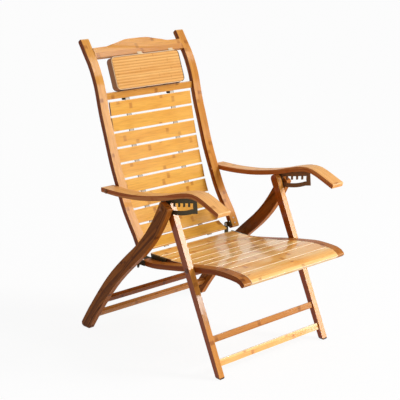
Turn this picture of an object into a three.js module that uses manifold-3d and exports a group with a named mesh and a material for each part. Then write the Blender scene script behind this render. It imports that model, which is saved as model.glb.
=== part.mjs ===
// Bamboo folding recliner: a slatted seat and back on folding legs, with arms that hook over a pin
import * as THREE from 'three';
import { mergeVertices } from 'three/addons/utils/BufferGeometryUtils.js';
import Module from 'manifold-3d';

const wasm = await Module();
wasm.setup();

// Sizes are in millimetres. X runs to the sitter's left, Y to the back and Z up.
// A side view is drawn in (y, z), with y counted from the seat pivot until the chair is centred.

// Driving sizes of the whole chair
const overallWidth = 614;
const overallHeight = 1130;
const fitGap = 0.3;
const boreClearance = 0.3;
const cutOverrun = 5;

// Widths of the boards and of the gaps between them, from the seat outwards
const railWidth = 35;
const legClearance = 2;
const frontLegWidth = 23;
const plateGap = 9;
const rearLegWidth = 23;

// Pivots seen from the side: seat, top pin, back hinge and arm bolt stand in a parallelogram
const seatPivotHeight = 361;
const pinBehindPivot = 90;
const pinAbovePivot = 214;
const hingeBehindPivot = 323;
const hingeAbovePivot = 10;
const reclineLimitDegrees = 42;
const armTiltRatio = 0.72;

// Front legs
const frontFootDepth = 23;
const frontTopRadius = 16;
const frontTopBeyondPin = 12;
const frontStretcherInset = 5;
const frontStretcherThickness = 16;
const frontUpperLevel = 121;
const frontUpperHeight = 21;
const frontLowerLevel = 42;
const frontLowerHeight = 23;

// Rear legs, along a line that sags from the top pin to the foot
const rearFootBehindPin = 513;
const rearLegDepth = 49;
const rearLegSharePoints = [
  [-0.031, -0.026], [0.037, 0.077], [0.136, 0.197], [0.253, 0.304], [0.419, 0.426],
  [0.569, 0.544], [0.704, 0.67], [0.844, 0.819], [0.918, 0.901], [1, 1], [1.04, 1.05],
];
const rearStretcherThickness = 16;
const rearStretcherHeight = 29;
const rearUpperLevel = 133;
const rearLowerLevel = 59;

// Seat rails and the surface of the seat slats, from the rear end forwards
const seatRearAhead = 34;
const seatLength = 556;
const railBelowHinge = 36;
const seatCrown = 55;
const railThickness = 20;
const railSharePoints = [
  [0, 0], [0.13, 0.02], [0.33, 0.33], [0.53, 0.69], [0.67, 0.89],
  [0.76, 1], [0.85, 1], [0.94, 0.93], [0.98, 0.76], [1, 0.56],
];
const seatSharePoints = [
  [0.004, 0.31], [0.15, 0.31], [0.26, 0.33], [0.36, 0.42], [0.466, 0.56], [0.57, 0.76],
  [0.67, 0.89], [0.76, 1], [0.85, 1], [0.94, 0.93], [0.98, 0.76], [1, 0.56],
];
const seatSlatCount = 8;
const seatFrontWrap = 57;
const seatSlatGap = 4;
const seatSlatThickness = 11;
const seatFrontThickness = 18;
const shortSlatCount = 2;
const cleatThickness = 14;
const cleatWidth = 23;
const cleatGap = 0.5;

// Back stiles, from the foot upwards
const stileFootAhead = 34;
const stileFootBelow = 6;
const stileThickness = 22;
const stileFaceBeforeBolt = 9;
const stileTopBehindBolt = 195;
const stileLowerSharePoints = [[0, 0], [0.23, 0.25], [0.51, 0.477], [0.74, 0.68], [0.88, 0.845]];
const stileUpperSharePoints = [
  [0, 0], [0.098, 0.092], [0.196, 0.193], [0.338, 0.376], [0.42, 0.477],
  [0.49, 0.59], [0.55, 0.69], [0.686, 0.817], [0.84, 0.908], [1, 1],
];

// Rails across the back
const crossbarDrop = 227;
const crossbarHeight = 26;
const crossbarThickness = 12;
const crossbarInset = 9;
const topRailDrop = 70.5;
const topRailEndHeight = 41;
const topRailCrown = 24;
const topRailThickness = 18;
const topRailSlope = 0.6;
const topRailShoulderShares = [[0.698, 0.04], [0.581, 0.29], [0.465, 0.5], [0.349, 0.75], [0.233, 0.95]];

// Back slats on their straps, from the crossbar down
const slingTopDrop = 5;
const slingTopInset = 3;
const slingFootAhead = 18;
const slingFootBelow = 11;
const slingSharePoints = [
  [0, 0], [0.096, 0.219], [0.231, 0.442], [0.31, 0.548], [0.38, 0.652],
  [0.486, 0.762], [0.601, 0.861], [0.75, 0.952], [1, 1],
];
const backSlatCount = 10;
const backSlatGap = 7.5;
const backSlatThickness = 8;
const backSlatEndGap = 15;
const strapSpread = 110;
const strapWidth = 22;
const strapThickness = 2;
const strapGap = 0.4;
const plugWidth = 12;
const plugDepth = 10;
const plugHeight = 7;

// Headrest, a firm block faced with bamboo strips that stands on the crossbar
const headrestWidth = 330;
const headrestHeight = 127;
const headrestThickness = 36;
const headrestCorner = 16;
const headrestAhead = 16;
const headrestSlope = 0.325;

// Arms, from the rear end forwards
const armLength = 652;
const armRearBehind = 31;
const armRearAbove = 11;
const armCrown = 61;
const armThickness = 18;
const armSharePoints = [
  [0, 0], [0.16, -0.02], [0.35, 0.11], [0.54, 0.44], [0.7, 0.87], [0.785, 1], [0.86, 0.89], [1, 0.26],
];

// Notch plates under the arms
const plateThickness = 3;
const plateRearBehindPin = 37;
const plateEndBar = 17;
const plateLowerBar = 16;
const notchCount = 6;
const notchDepth = 13;
const toothWidth = 9;
const toothLean = 3;
const pinRunClearance = 0.7;

// Steel pins, bolts and hinge leaves
const pinRadius = 3;
const boltRadius = 4;
const boltHeadRadius = 9;
const boltHeadHeight = 3.7;
const seatBoltBite = 33;
const armNutRadius = 8;
const armNutHeight = 3;
const domeRadius = 8;
const domeHeight = 6;
const leafThickness = 3;
const leafGap = 0.5;
const rivetRadius = 3.5;
const rivetHeadRadius = 6;
const rivetHeadHeight = 1.3;
const leafEyeRadius = 10;
const backLeafHeight = 26;
const seatLeafLength = 145;
const seatLeafRise = 15;
const seatLeafDrop = 15;
const leafNotchWidth = 39;
const leafNotchDepth = 14;
const leafPadLength = 87;
const hookThickness = 4;
const hookOverlap = 22;
const hookBehindStub = 19;
const hookAboveStub = 17;
const hookBelowStub = 18;
const stubBelowHinge = 53;
const stubRadius = 6;
const stubClearance = 1;
const stubEndGap = 0.5;

// Places across the chair, worked out from the widths
const rearLegOuter = overallWidth / 2;
const rearLegInner = rearLegOuter - rearLegWidth;
const frontLegOuter = rearLegInner - plateGap;
const frontLegInner = frontLegOuter - frontLegWidth;
const railOuter = frontLegInner - legClearance;
const railInner = railOuter - railWidth;
const armInner = frontLegInner;
const armOuter = rearLegOuter;

// Pivots in the side view
const seatPivot = new THREE.Vector2(0, seatPivotHeight);
const topPin = new THREE.Vector2(pinBehindPivot, seatPivotHeight + pinAbovePivot);
const backHinge = new THREE.Vector2(hingeBehindPivot, seatPivotHeight + hingeAbovePivot);
const armBolt = topPin.clone().add(backHinge).sub(seatPivot);
const SIDES = [['left', 1], ['right', -1]];

// Colours and surfaces
const honey = { color: '#d9974f', roughness: 0.45, metalness: 0 };
const amber = { color: '#a9652f', roughness: 0.5, metalness: 0 };
const blackSteel = { color: '#2a2723', roughness: 0.5, metalness: 0.6 };
const brightSteel = { color: '#b9b9b6', roughness: 0.25, metalness: 1 };
const webbing = { color: '#8d8a84', roughness: 0.9, metalness: 0 };
const blackPlastic = { color: '#1b1b1b', roughness: 0.5, metalness: 0 };

// Makes a solid of a closed mesh
function toSolid(geometry) {
  const bare = geometry.clone();
  for (const name of Object.keys(bare.attributes)) {
    if (name !== 'position') bare.deleteAttribute(name);
  }
  const merged = mergeVertices(bare, 1e-4);
  const mesh = new wasm.Mesh({
    numProp: 3,
    vertProperties: Float32Array.from(merged.attributes.position.array),
    triVerts: Uint32Array.from(merged.index.array),
  });
  return new wasm.Manifold(mesh);
}

// Turns a solid back into geometry
function toGeometry(solid) {
  const mesh = solid.getMesh();
  const geometry = new THREE.BufferGeometry();
  geometry.setAttribute('position', new THREE.BufferAttribute(mesh.vertProperties, 3));
  geometry.setIndex(new THREE.BufferAttribute(mesh.triVerts, 1));
  return geometry;
}

// Cuts each tool out of a body
function cut(geometry, ...tools) {
  const solid = tools.reduce((rest, tool) => rest.subtract(toSolid(tool)), toSolid(geometry));
  return toGeometry(solid);
}

// Joins bodies that share a stretch of material
function join(...geometries) {
  const [first, ...rest] = geometries.map(toSolid);
  return toGeometry(rest.reduce((whole, solid) => whole.add(solid), first));
}

// Runs a side-view outline across the chair, from one distance off the middle to another
function acrossSide(shape, inner, outer, side) {
  const geometry = new THREE.ExtrudeGeometry(shape, { depth: outer - inner, bevelEnabled: false });
  const turn = new THREE.Matrix4().set(0, 0, 1, 0, 1, 0, 0, 0, 0, 1, 0, 0, 0, 0, 0, 1);
  geometry.applyMatrix4(turn);
  geometry.translate(side > 0 ? inner : -outer, 0, 0);
  return geometry;
}

// Runs a side-view outline over both sides of the middle
function acrossWhole(shape, half) {
  return acrossSide(shape, -half, half, 1);
}

// A round pin along x, given as [radius, distance off the middle] pairs
function turnedPin(profile, place, side) {
  const points = profile.map(([radius, off]) => new THREE.Vector2(radius, off));
  const geometry = new THREE.LatheGeometry(points, 20);
  geometry.rotateZ(-Math.PI / 2);
  if (side < 0) geometry.rotateY(Math.PI);
  geometry.translate(0, place.x, place.y);
  return geometry;
}

// A cutter for a round hole along x
function boreAt(place, radius, inner, outer, side) {
  const geometry = new THREE.CylinderGeometry(radius, radius, outer - inner, 20);
  geometry.rotateZ(Math.PI / 2);
  geometry.translate((side * (inner + outer)) / 2, place.x, place.y);
  return geometry;
}

// Points given as shares of the way from one place to another
function sharedPoints(start, end, sharePoints) {
  return sharePoints.map(([along, up]) => {
    return new THREE.Vector2(start.x + (end.x - start.x) * along, start.y + (end.y - start.y) * up);
  });
}

// A smooth line through points given as shares of a run and a rise
function sideCurve(start, run, rise, sharePoints) {
  const end = new THREE.Vector2(start.x + run, start.y + rise);
  return new THREE.SplineCurve(sharedPoints(start, end, sharePoints));
}

// Points beside a curve, to the left of its direction for a positive distance
function besideCurve(curve, distance, from, to, divisions) {
  const points = [];
  for (let i = 0; i <= divisions; i += 1) {
    const share = from + ((to - from) * i) / divisions;
    const point = curve.getPointAt(share);
    const tangent = curve.getTangentAt(share);
    points.push(new THREE.Vector2(point.x - tangent.y * distance, point.y + tangent.x * distance));
  }
  return points;
}

// The outline of a bent board between two distances beside a curve
function bentBoard(curve, near, far, from, to, divisions) {
  const nearLine = besideCurve(curve, near, from, to, divisions);
  const farLine = besideCurve(curve, far, from, to, divisions);
  return new THREE.Shape([...nearLine, ...farLine.reverse()]);
}

// The share of a curve's length at which a coordinate reaches a value
function shareWhere(curve, axis, value) {
  let low = 0;
  let high = 1;
  const rising = curve.getPointAt(1)[axis] > curve.getPointAt(0)[axis];
  for (let step = 0; step < 40; step += 1) {
    const middle = (low + high) / 2;
    const past = curve.getPointAt(middle)[axis] > value;
    if (past === rising) high = middle;
    else low = middle;
  }
  return (low + high) / 2;
}

// A point offset along a direction and square to it
function along(start, direction, distance, aside = 0) {
  const x = start.x + direction.x * distance + direction.y * aside;
  return new THREE.Vector2(x, start.y + direction.y * distance - direction.x * aside);
}

// A block in the side view, set along a direction
function slantedBlock(start, direction, length, thickness) {
  const corners = [
    start,
    along(start, direction, length),
    along(start, direction, length, thickness),
    along(start, direction, 0, thickness),
  ];
  return new THREE.Shape(corners);
}

// A flat panel drawn as seen from the front, leaning back from its lower front edge
function leaningPanel(shape, thickness, slope, front, bottom) {
  const geometry = new THREE.ExtrudeGeometry(shape, { depth: thickness, bevelEnabled: false, curveSegments: 8 });
  geometry.translate(0, 0, -thickness);
  geometry.rotateX(Math.PI / 2 - Math.atan(slope));
  geometry.translate(0, front, bottom);
  return geometry;
}

const chair = new THREE.Group();

function addPart(name, geometry, surface) {
  const mesh = new THREE.Mesh(geometry, new THREE.MeshStandardMaterial(surface));
  mesh.name = name;
  chair.add(mesh);
  return mesh;
}

// Front legs and their stretchers
const frontDirection = topPin.clone().sub(seatPivot).normalize();
const frontFootCentre = along(seatPivot, frontDirection, -seatPivotHeight / frontDirection.y);
const frontTopCentre = along(topPin, frontDirection, frontTopBeyondPin);

function frontLegShape() {
  const turn = Math.atan2(frontDirection.y, frontDirection.x);
  const shape = new THREE.Shape();
  shape.moveTo(frontFootCentre.x - frontFootDepth / 2, 0);
  shape.lineTo(frontFootCentre.x + frontFootDepth / 2, 0);
  shape.absarc(frontTopCentre.x, frontTopCentre.y, frontTopRadius, turn - Math.PI / 2, turn + Math.PI / 2, false);
  shape.closePath();
  return shape;
}

function frontLeg(side) {
  const blank = acrossSide(frontLegShape(), frontLegInner, frontLegOuter, side);
  const from = frontLegInner - cutOverrun;
  const to = frontLegOuter + cutOverrun;
  return cut(
    blank,
    boreAt(seatPivot, boltRadius + boreClearance, from, to, side),
    boreAt(topPin, pinRadius + boreClearance, from, to, side),
  );
}

function frontStretcher(level, height) {
  const edgeFoot = new THREE.Vector2(frontFootCentre.x - frontFootDepth / 2, 0);
  const edgeTop = along(frontTopCentre, frontDirection, 0, -frontTopRadius);
  const edge = edgeTop.clone().sub(edgeFoot).normalize();
  const start = along(edgeFoot, edge, level / edge.y, frontStretcherInset);
  const length = height / edge.y;
  return acrossWhole(slantedBlock(start, edge, length, frontStretcherThickness), frontLegInner);
}

// Rear legs and their stretchers
const rearLegLine = sideCurve(topPin, rearFootBehindPin, -topPin.y, rearLegSharePoints);

function rearLeg(side) {
  const shape = bentBoard(rearLegLine, -rearLegDepth / 2, rearLegDepth / 2, 0, 1, 20);
  const blank = acrossSide(shape, rearLegInner, rearLegOuter, side);
  const floor = new THREE.BoxGeometry(rearLegOuter * 3, rearFootBehindPin * 3, rearLegDepth * 2);
  floor.translate(0, rearFootBehindPin, -rearLegDepth);
  const from = rearLegInner - cutOverrun;
  const to = rearLegOuter + cutOverrun;
  return cut(blank, floor, boreAt(topPin, pinRadius + boreClearance, from, to, side));
}

function rearStretcher(level) {
  const share = shareWhere(rearLegLine, 'y', level);
  const tangent = rearLegLine.getTangentAt(share);
  const middle = rearLegLine.getPointAt(share);
  const start = along(middle, tangent, -rearStretcherHeight / 2, -rearStretcherThickness / 2);
  const shape = slantedBlock(start, tangent, rearStretcherHeight, rearStretcherThickness);
  return acrossWhole(shape, rearLegInner);
}

// Seat
const seatRear = new THREE.Vector2(backHinge.x - seatRearAhead, backHinge.y - railBelowHinge);
const railLine = sideCurve(seatRear, -seatLength, seatCrown, railSharePoints);
const seatLine = sideCurve(seatRear, -seatLength, seatCrown, seatSharePoints);

function seatRail(side) {
  const shape = bentBoard(railLine, 0, railThickness, 0, 1, 26);
  const blank = acrossSide(shape, railInner, railOuter, side);
  const from = frontLegInner + boltHeadHeight - seatBoltBite - legClearance;
  return cut(blank, boreAt(seatPivot, boltRadius + boreClearance, from - cutOverrun, railOuter + cutOverrun, side));
}

const seatLineLength = seatLine.getLength();
const seatFrontFrom = 1 - seatFrontWrap / seatLineLength;
const seatSlatPitch = seatFrontFrom / seatSlatCount;
const seatGapShare = seatSlatGap / seatLineLength;
const leafInner = railInner - 2 * leafThickness - leafGap;
const shortSlatHalf = leafInner - fitGap - leafGap;

function seatSlat(index) {
  const from = index * seatSlatPitch;
  const to = (index + 1) * seatSlatPitch - seatGapShare;
  const half = index < shortSlatCount ? shortSlatHalf : railInner - fitGap;
  return acrossWhole(bentBoard(seatLine, 0, seatSlatThickness, from, to, 4), half);
}

function seatFrontRail() {
  return acrossWhole(bentBoard(seatLine, 0, seatFrontThickness, seatFrontFrom, 1, 8), railInner - fitGap);
}

function seatCleat(side) {
  const top = seatSlatThickness + cleatGap;
  const end = seatFrontFrom - seatGapShare;
  const shape = bentBoard(seatLine, top, top + cleatThickness, seatGapShare, end, 32);
  const blank = acrossSide(shape, railInner - cleatWidth, railInner, side);
  const rebate = new THREE.BoxGeometry(railInner - shortSlatHalf + cutOverrun, seatLeafLength, seatLength);
  const x = side * (shortSlatHalf + (railInner - shortSlatHalf + cutOverrun) / 2);
  rebate.translate(x, backHinge.x - seatLeafLength / 2 + leafEyeRadius, seatRear.y);
  return cut(blank, rebate);
}

// Back
const stileFoot = new THREE.Vector2(backHinge.x - stileFootAhead, backHinge.y - stileFootBelow);
const stileMiddle = new THREE.Vector2(armBolt.x - stileFaceBeforeBolt, armBolt.y);
const stileTop = new THREE.Vector2(armBolt.x + stileTopBehindBolt, overallHeight);
const stileLine = new THREE.SplineCurve([
  ...sharedPoints(stileFoot, stileMiddle, stileLowerSharePoints),
  ...sharedPoints(stileMiddle, stileTop, stileUpperSharePoints),
]);

function backStile(side) {
  const blank = acrossSide(bentBoard(stileLine, 0, -stileThickness, 0, 1, 26), railInner, railOuter, side);
  const bore = boreAt(armBolt, boltRadius + boreClearance, railInner - cutOverrun, railOuter + cutOverrun, side);
  return cut(blank, bore);
}

function stileFaceAt(level) {
  return stileLine.getPointAt(shareWhere(stileLine, 'y', level)).x;
}

const crossbarLevel = overallHeight - crossbarDrop;
const topRailLevel = overallHeight - topRailDrop;
const crossbarFront = stileFaceAt(crossbarLevel + crossbarHeight / 2) + crossbarInset;

function upperCrossbar() {
  const bar = new THREE.BoxGeometry(2 * railInner, crossbarThickness, crossbarHeight);
  bar.translate(0, crossbarFront + crossbarThickness / 2, crossbarLevel + crossbarHeight / 2);
  return bar;
}

function topRail() {
  const shape = new THREE.Shape();
  shape.moveTo(-railInner, 0);
  shape.lineTo(railInner, 0);
  shape.lineTo(railInner, topRailEndHeight);
  const shoulder = topRailShoulderShares.map(([out, up]) => [out * railInner, topRailEndHeight + up * topRailCrown]);
  const left = shoulder.map(([x, height]) => new THREE.Vector2(x, height));
  const right = shoulder.map(([x, height]) => new THREE.Vector2(-x, height)).reverse();
  const crown = new THREE.Vector2(0, topRailEndHeight + topRailCrown);
  shape.splineThru([...left, crown, ...right]);
  shape.lineTo(-railInner, topRailEndHeight);
  return leaningPanel(shape, topRailThickness, topRailSlope, stileFaceAt(topRailLevel), topRailLevel);
}

const slingTop = new THREE.Vector2(crossbarFront - slingTopInset, crossbarLevel - slingTopDrop);
const slingFoot = new THREE.Vector2(backHinge.x - slingFootAhead, backHinge.y - slingFootBelow);
const slingLine = new THREE.SplineCurve(sharedPoints(slingTop, slingFoot, slingSharePoints));
const slingLength = slingLine.getLength();
const backSlatHalf = railInner - backSlatEndGap;

function backSlat(index) {
  const halfGap = backSlatGap / 2 / slingLength;
  const from = index / backSlatCount + halfGap;
  const to = (index + 1) / backSlatCount - halfGap;
  return acrossWhole(bentBoard(slingLine, 0, backSlatThickness, from, to, 4), backSlatHalf);
}

function backStrap(side) {
  const near = backSlatThickness + strapGap;
  const far = near + strapThickness;
  const front = besideCurve(slingLine, near, 0, 1, 50);
  const back = besideCurve(slingLine, far, 0, 1, 50);
  const under = crossbarLevel - fitGap;
  const shape = new THREE.Shape([
    new THREE.Vector2(front[0].x, under), ...front, ...back.reverse(), new THREE.Vector2(back[back.length - 1].x, under),
  ]);
  return acrossSide(shape, strapSpread - strapWidth / 2, strapSpread + strapWidth / 2, side);
}

function strapPlug(side) {
  const plug = new THREE.BoxGeometry(plugWidth, plugDepth, plugHeight);
  const x = side * strapSpread - strapWidth / 2 - plugWidth / 2;
  plug.translate(x, crossbarFront + plugDepth / 2, crossbarLevel - fitGap - plugHeight / 2);
  return plug;
}

function headrestBlock() {
  const half = headrestWidth / 2;
  const shape = new THREE.Shape();
  shape.moveTo(-half, headrestCorner);
  shape.absarc(headrestCorner - half, headrestCorner, headrestCorner, Math.PI, 1.5 * Math.PI, false);
  shape.absarc(half - headrestCorner, headrestCorner, headrestCorner, 1.5 * Math.PI, 2 * Math.PI, false);
  shape.absarc(half - headrestCorner, headrestHeight - headrestCorner, headrestCorner, 0, Math.PI / 2, false);
  shape.absarc(headrestCorner - half, headrestHeight - headrestCorner, headrestCorner, Math.PI / 2, Math.PI, false);
  shape.closePath();
  const front = crossbarFront - headrestAhead;
  const seat = crossbarLevel + crossbarHeight + fitGap * Math.hypot(1, headrestSlope);
  const bottom = seat + (headrestAhead + crossbarThickness) * headrestSlope;
  return leaningPanel(shape, headrestThickness, headrestSlope, front, bottom);
}

// Arms and their notch plates
const armRear = new THREE.Vector2(armBolt.x + armRearBehind, armBolt.y + armRearAbove);
const armLine = sideCurve(armRear, -armLength, armCrown, armSharePoints);

function arm(side) {
  const blank = acrossSide(bentBoard(armLine, 0, armThickness, 0, 1, 24), armInner, armOuter, side);
  return cut(blank, boreAt(armBolt, boltRadius + boreClearance, armInner - cutOverrun, armOuter + cutOverrun, side));
}

// Where the pin lies under the arm when the back has reclined by a share of its range
function pinUnderArm(share) {
  const recline = THREE.MathUtils.degToRad(reclineLimitDegrees) * share;
  const origin = new THREE.Vector2();
  const bolt = armBolt.clone().sub(backHinge).rotateAround(origin, -recline).add(backHinge);
  return topPin.clone().sub(bolt).rotateAround(origin, recline * (1 - armTiltRatio)).add(armBolt);
}

const slotStart = pinUnderArm(0);
const slotDirection = pinUnderArm(1).sub(slotStart).normalize();
const slotLength = pinUnderArm(1).distanceTo(slotStart);
const pinRoom = pinRadius + pinRunClearance;

// A place in the slot: forward of the pin's first place, and above the line to its last place
function inSlot(forward, above) {
  return along(slotStart, slotDirection, forward, above);
}

function slotFloor() {
  const points = [];
  for (let step = 0; step <= 8; step += 1) {
    const pin = pinUnderArm(step / 8);
    const away = pin.clone().sub(slotStart);
    const forward = away.dot(slotDirection);
    const above = away.x * slotDirection.y - away.y * slotDirection.x;
    points.push([forward, above - pinRoom]);
  }
  return points;
}

function slotOutline() {
  const pitch = slotLength / (notchCount - 1);
  const reach = (pitch - toothWidth) / 2;
  const floor = slotFloor().map(([forward, above]) => inSlot(forward, above));
  const points = [inSlot(-reach, -pinRoom), ...floor, inSlot(slotLength + reach, -pinRoom)];
  for (let notch = notchCount - 1; notch >= 0; notch -= 1) {
    const middle = notch * pitch;
    points.push(inSlot(middle + reach, pinRoom));
    points.push(inSlot(middle + reach + toothLean, pinRoom + notchDepth));
    points.push(inSlot(middle - reach + toothLean, pinRoom + notchDepth));
    points.push(inSlot(middle - reach, pinRoom));
  }
  return new THREE.Path(points);
}

function notchPlate(side) {
  const pitch = slotLength / (notchCount - 1);
  const rear = topPin.x + plateRearBehindPin;
  const front = inSlot(slotLength + (pitch - toothWidth) / 2 + plateEndBar, 0).x;
  const rearShare = shareWhere(armLine, 'x', rear);
  const frontShare = shareWhere(armLine, 'x', front);
  const top = besideCurve(armLine, armThickness + fitGap, rearShare, frontShare, 12);
  const lower = slotFloor().map(([forward, above]) => inSlot(forward, above - plateLowerBar));
  const lowerRear = inSlot((slotStart.x - top[0].x) / -slotDirection.x, -pinRoom - plateLowerBar);
  const lowerFront = inSlot((slotStart.x - top[top.length - 1].x) / -slotDirection.x, -pinRoom - plateLowerBar);
  const shape = new THREE.Shape([...top, lowerFront, ...lower.reverse(), lowerRear]);
  shape.holes.push(slotOutline());
  const inner = frontLegOuter + (plateGap - plateThickness) / 2;
  return acrossSide(shape, inner, inner + plateThickness, side);
}

// Pins and bolts
function topPinGeometry(side) {
  const start = frontLegInner + fitGap;
  const face = rearLegOuter + fitGap;
  const dome = [];
  for (let step = 0; step <= 5; step += 1) {
    const angle = (step / 5) * (Math.PI / 2);
    dome.push([domeRadius * Math.cos(angle), face + domeHeight * Math.sin(angle)]);
  }
  dome[dome.length - 1][0] = 0;
  return turnedPin([[0, start], [pinRadius, start], [pinRadius, face], ...dome], topPin, side);
}

function seatPivotBolt(side) {
  const head = frontLegOuter + fitGap;
  const end = head - frontLegWidth - seatBoltBite;
  const profile = [
    [0, end], [boltRadius, end], [boltRadius, head], [boltHeadRadius, head],
    [boltHeadRadius, head + boltHeadHeight - leafGap], [0, head + boltHeadHeight - leafGap],
  ];
  return turnedPin(profile, seatPivot, side);
}

function armBoltGeometry(side) {
  const nut = railInner - fitGap;
  const head = armOuter + fitGap;
  const profile = [
    [0, nut - armNutHeight], [armNutRadius, nut - armNutHeight], [armNutRadius, nut], [boltRadius, nut],
    [boltRadius, head], [boltHeadRadius, head], [boltHeadRadius, head + boltHeadHeight], [0, head + boltHeadHeight],
  ];
  return turnedPin(profile, armBolt, side);
}

// Hinge leaves at the foot of the back
const backLeafInner = railInner - leafThickness;

function backLeaf(side) {
  const top = shareWhere(stileLine, 'y', stileFoot.y + backLeafHeight);
  const bottom = shareWhere(stileLine, 'y', stileFoot.y + stileFootBelow);
  const onStile = bentBoard(stileLine, -leafGap, leafGap - stileThickness, bottom, top, 4);
  const plate = acrossSide(onStile, backLeafInner, railInner, side);
  const eye = boreAt(backHinge, leafEyeRadius, backLeafInner, railInner, side);
  const hole = boreAt(backHinge, rivetRadius + boreClearance, backLeafInner - cutOverrun, railInner + cutOverrun, side);
  return cut(join(plate, eye), hole);
}

function seatLeafShape() {
  const rear = backHinge.x + leafEyeRadius;
  const front = rear - seatLeafLength;
  const bottom = seatRear.y - seatLeafDrop;
  const top = seatRear.y + seatLeafRise;
  const notchRear = backHinge.x - leafEyeRadius;
  const notchFront = notchRear - leafNotchWidth;
  const shape = new THREE.Shape();
  shape.moveTo(front, bottom);
  shape.lineTo(rear - leafEyeRadius / 2, bottom);
  shape.lineTo(rear, bottom + leafEyeRadius);
  shape.lineTo(rear, backHinge.y);
  shape.absarc(backHinge.x, backHinge.y, leafEyeRadius, 0, Math.PI, false);
  shape.lineTo(notchRear, top - leafNotchDepth / 2);
  shape.lineTo(notchRear - leafNotchDepth / 2, top - leafNotchDepth);
  shape.lineTo(notchFront + leafNotchDepth / 2, top - leafNotchDepth);
  shape.lineTo(notchFront, top);
  shape.lineTo(front, top);
  return shape;
}

function seatLeaf(side) {
  const outer = railInner - leafThickness - leafGap;
  const plate = acrossSide(seatLeafShape(), leafInner, outer, side);
  const padRear = backHinge.x + leafEyeRadius - seatLeafLength + leafPadLength;
  const bottom = seatRear.y - seatLeafDrop;
  const padShape = new THREE.Shape([
    new THREE.Vector2(padRear - leafPadLength, bottom),
    new THREE.Vector2(padRear, bottom),
    new THREE.Vector2(padRear, seatRear.y + seatLeafRise),
    new THREE.Vector2(padRear - leafPadLength, seatRear.y + seatLeafRise),
  ]);
  const pad = acrossSide(padShape, leafInner, railInner, side);
  const hole = boreAt(backHinge, rivetRadius + boreClearance, leafInner - cutOverrun, railInner + cutOverrun, side);
  return cut(join(plate, pad), hole);
}

function hingeRivet(side) {
  const head = leafInner - fitGap;
  const profile = [
    [0, head - rivetHeadHeight], [rivetHeadRadius, head - rivetHeadHeight], [rivetHeadRadius, head],
    [rivetRadius, head], [rivetRadius, railInner - fitGap], [0, railInner - fitGap],
  ];
  return turnedPin(profile, backHinge, side);
}

// Rear support of the seat: a hook plate on each rail over a stub on each rear leg
const stub = rearLegLine.getPointAt(shareWhere(rearLegLine, 'y', backHinge.y - stubBelowHinge));

function restHook(side) {
  const front = seatRear.x - hookOverlap;
  const rear = stub.x + hookBehindStub;
  const top = stub.y + hookAboveStub;
  const bottom = stub.y - hookBelowStub;
  const room = stubRadius + stubClearance;
  const shape = new THREE.Shape();
  shape.moveTo(front, top);
  shape.lineTo(front, seatRear.y - railThickness);
  shape.lineTo(stub.x - 3 * room, seatRear.y - railThickness);
  shape.lineTo(stub.x - 2 * room, bottom);
  shape.lineTo(stub.x - room, bottom);
  shape.absarc(stub.x, stub.y, room, Math.PI, 0, true);
  shape.lineTo(stub.x + room, bottom);
  shape.lineTo(rear, bottom);
  shape.lineTo(rear, top);
  return acrossSide(shape, railOuter, railOuter + hookThickness, side);
}

function restStub(side) {
  const start = railOuter + hookThickness + stubEndGap;
  return turnedPin([[0, start], [stubRadius, start], [stubRadius, rearLegInner], [0, rearLegInner]], stub, side);
}

for (const [name, side] of SIDES) {
  addPart(`front_leg_${name}`, frontLeg(side), honey);
  addPart(`rear_leg_${name}`, rearLeg(side), amber);
  addPart(`seat_rail_${name}`, seatRail(side), honey);
  addPart(`seat_cleat_${name}`, seatCleat(side), amber);
  addPart(`back_stile_${name}`, backStile(side), honey);
  addPart(`arm_${name}`, arm(side), honey);
  addPart(`notch_plate_${name}`, notchPlate(side), blackSteel);
  addPart(`top_pin_${name}`, topPinGeometry(side), brightSteel);
  addPart(`seat_pivot_bolt_${name}`, seatPivotBolt(side), brightSteel);
  addPart(`arm_bolt_${name}`, armBoltGeometry(side), brightSteel);
  addPart(`back_hinge_leaf_${name}`, backLeaf(side), blackSteel);
  addPart(`seat_hinge_leaf_${name}`, seatLeaf(side), blackSteel);
  addPart(`hinge_rivet_${name}`, hingeRivet(side), brightSteel);
  addPart(`rest_hook_${name}`, restHook(side), blackSteel);
  addPart(`rest_stub_${name}`, restStub(side), brightSteel);
  addPart(`back_strap_${name}`, backStrap(side), webbing);
  addPart(`strap_plug_${name}`, strapPlug(side), blackPlastic);
}
addPart('front_stretcher_upper', frontStretcher(frontUpperLevel, frontUpperHeight), honey);
addPart('front_stretcher_lower', frontStretcher(frontLowerLevel, frontLowerHeight), honey);
addPart('rear_stretcher_upper', rearStretcher(rearUpperLevel), amber);
addPart('rear_stretcher_lower', rearStretcher(rearLowerLevel), amber);
for (let index = 0; index < seatSlatCount; index += 1) {
  addPart(`seat_slat_${String(index + 1).padStart(2, '0')}`, seatSlat(index), honey);
}
addPart('seat_front_rail', seatFrontRail(), honey);
for (let index = 0; index < backSlatCount; index += 1) {
  addPart(`back_slat_${String(index + 1).padStart(2, '0')}`, backSlat(index), honey);
}
addPart('upper_crossbar', upperCrossbar(), honey);
addPart('top_rail', topRail(), honey);
addPart('headrest', headrestBlock(), honey);

// The chair stands on the floor with the middle of its outline over the origin
const outline = new THREE.Box3().setFromObject(chair);
chair.position.set(0, -(outline.min.y + outline.max.y) / 2, 0);

export default chair;
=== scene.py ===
"""Looks of the folding bamboo recliner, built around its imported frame.

Every board of the frame gets a softened copy with eased edges and lacquered bamboo, the headrest, straps and
small hardware are made here, and the camera, lamps and floor follow the product photograph.
"""

import logging
import math
from dataclasses import dataclass, field
from enum import Enum
from typing import Any, Callable, Sequence

import bmesh
import bpy
import numpy as np
from mathutils import Matrix, Vector
from mathutils.bvhtree import BVHTree

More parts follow.
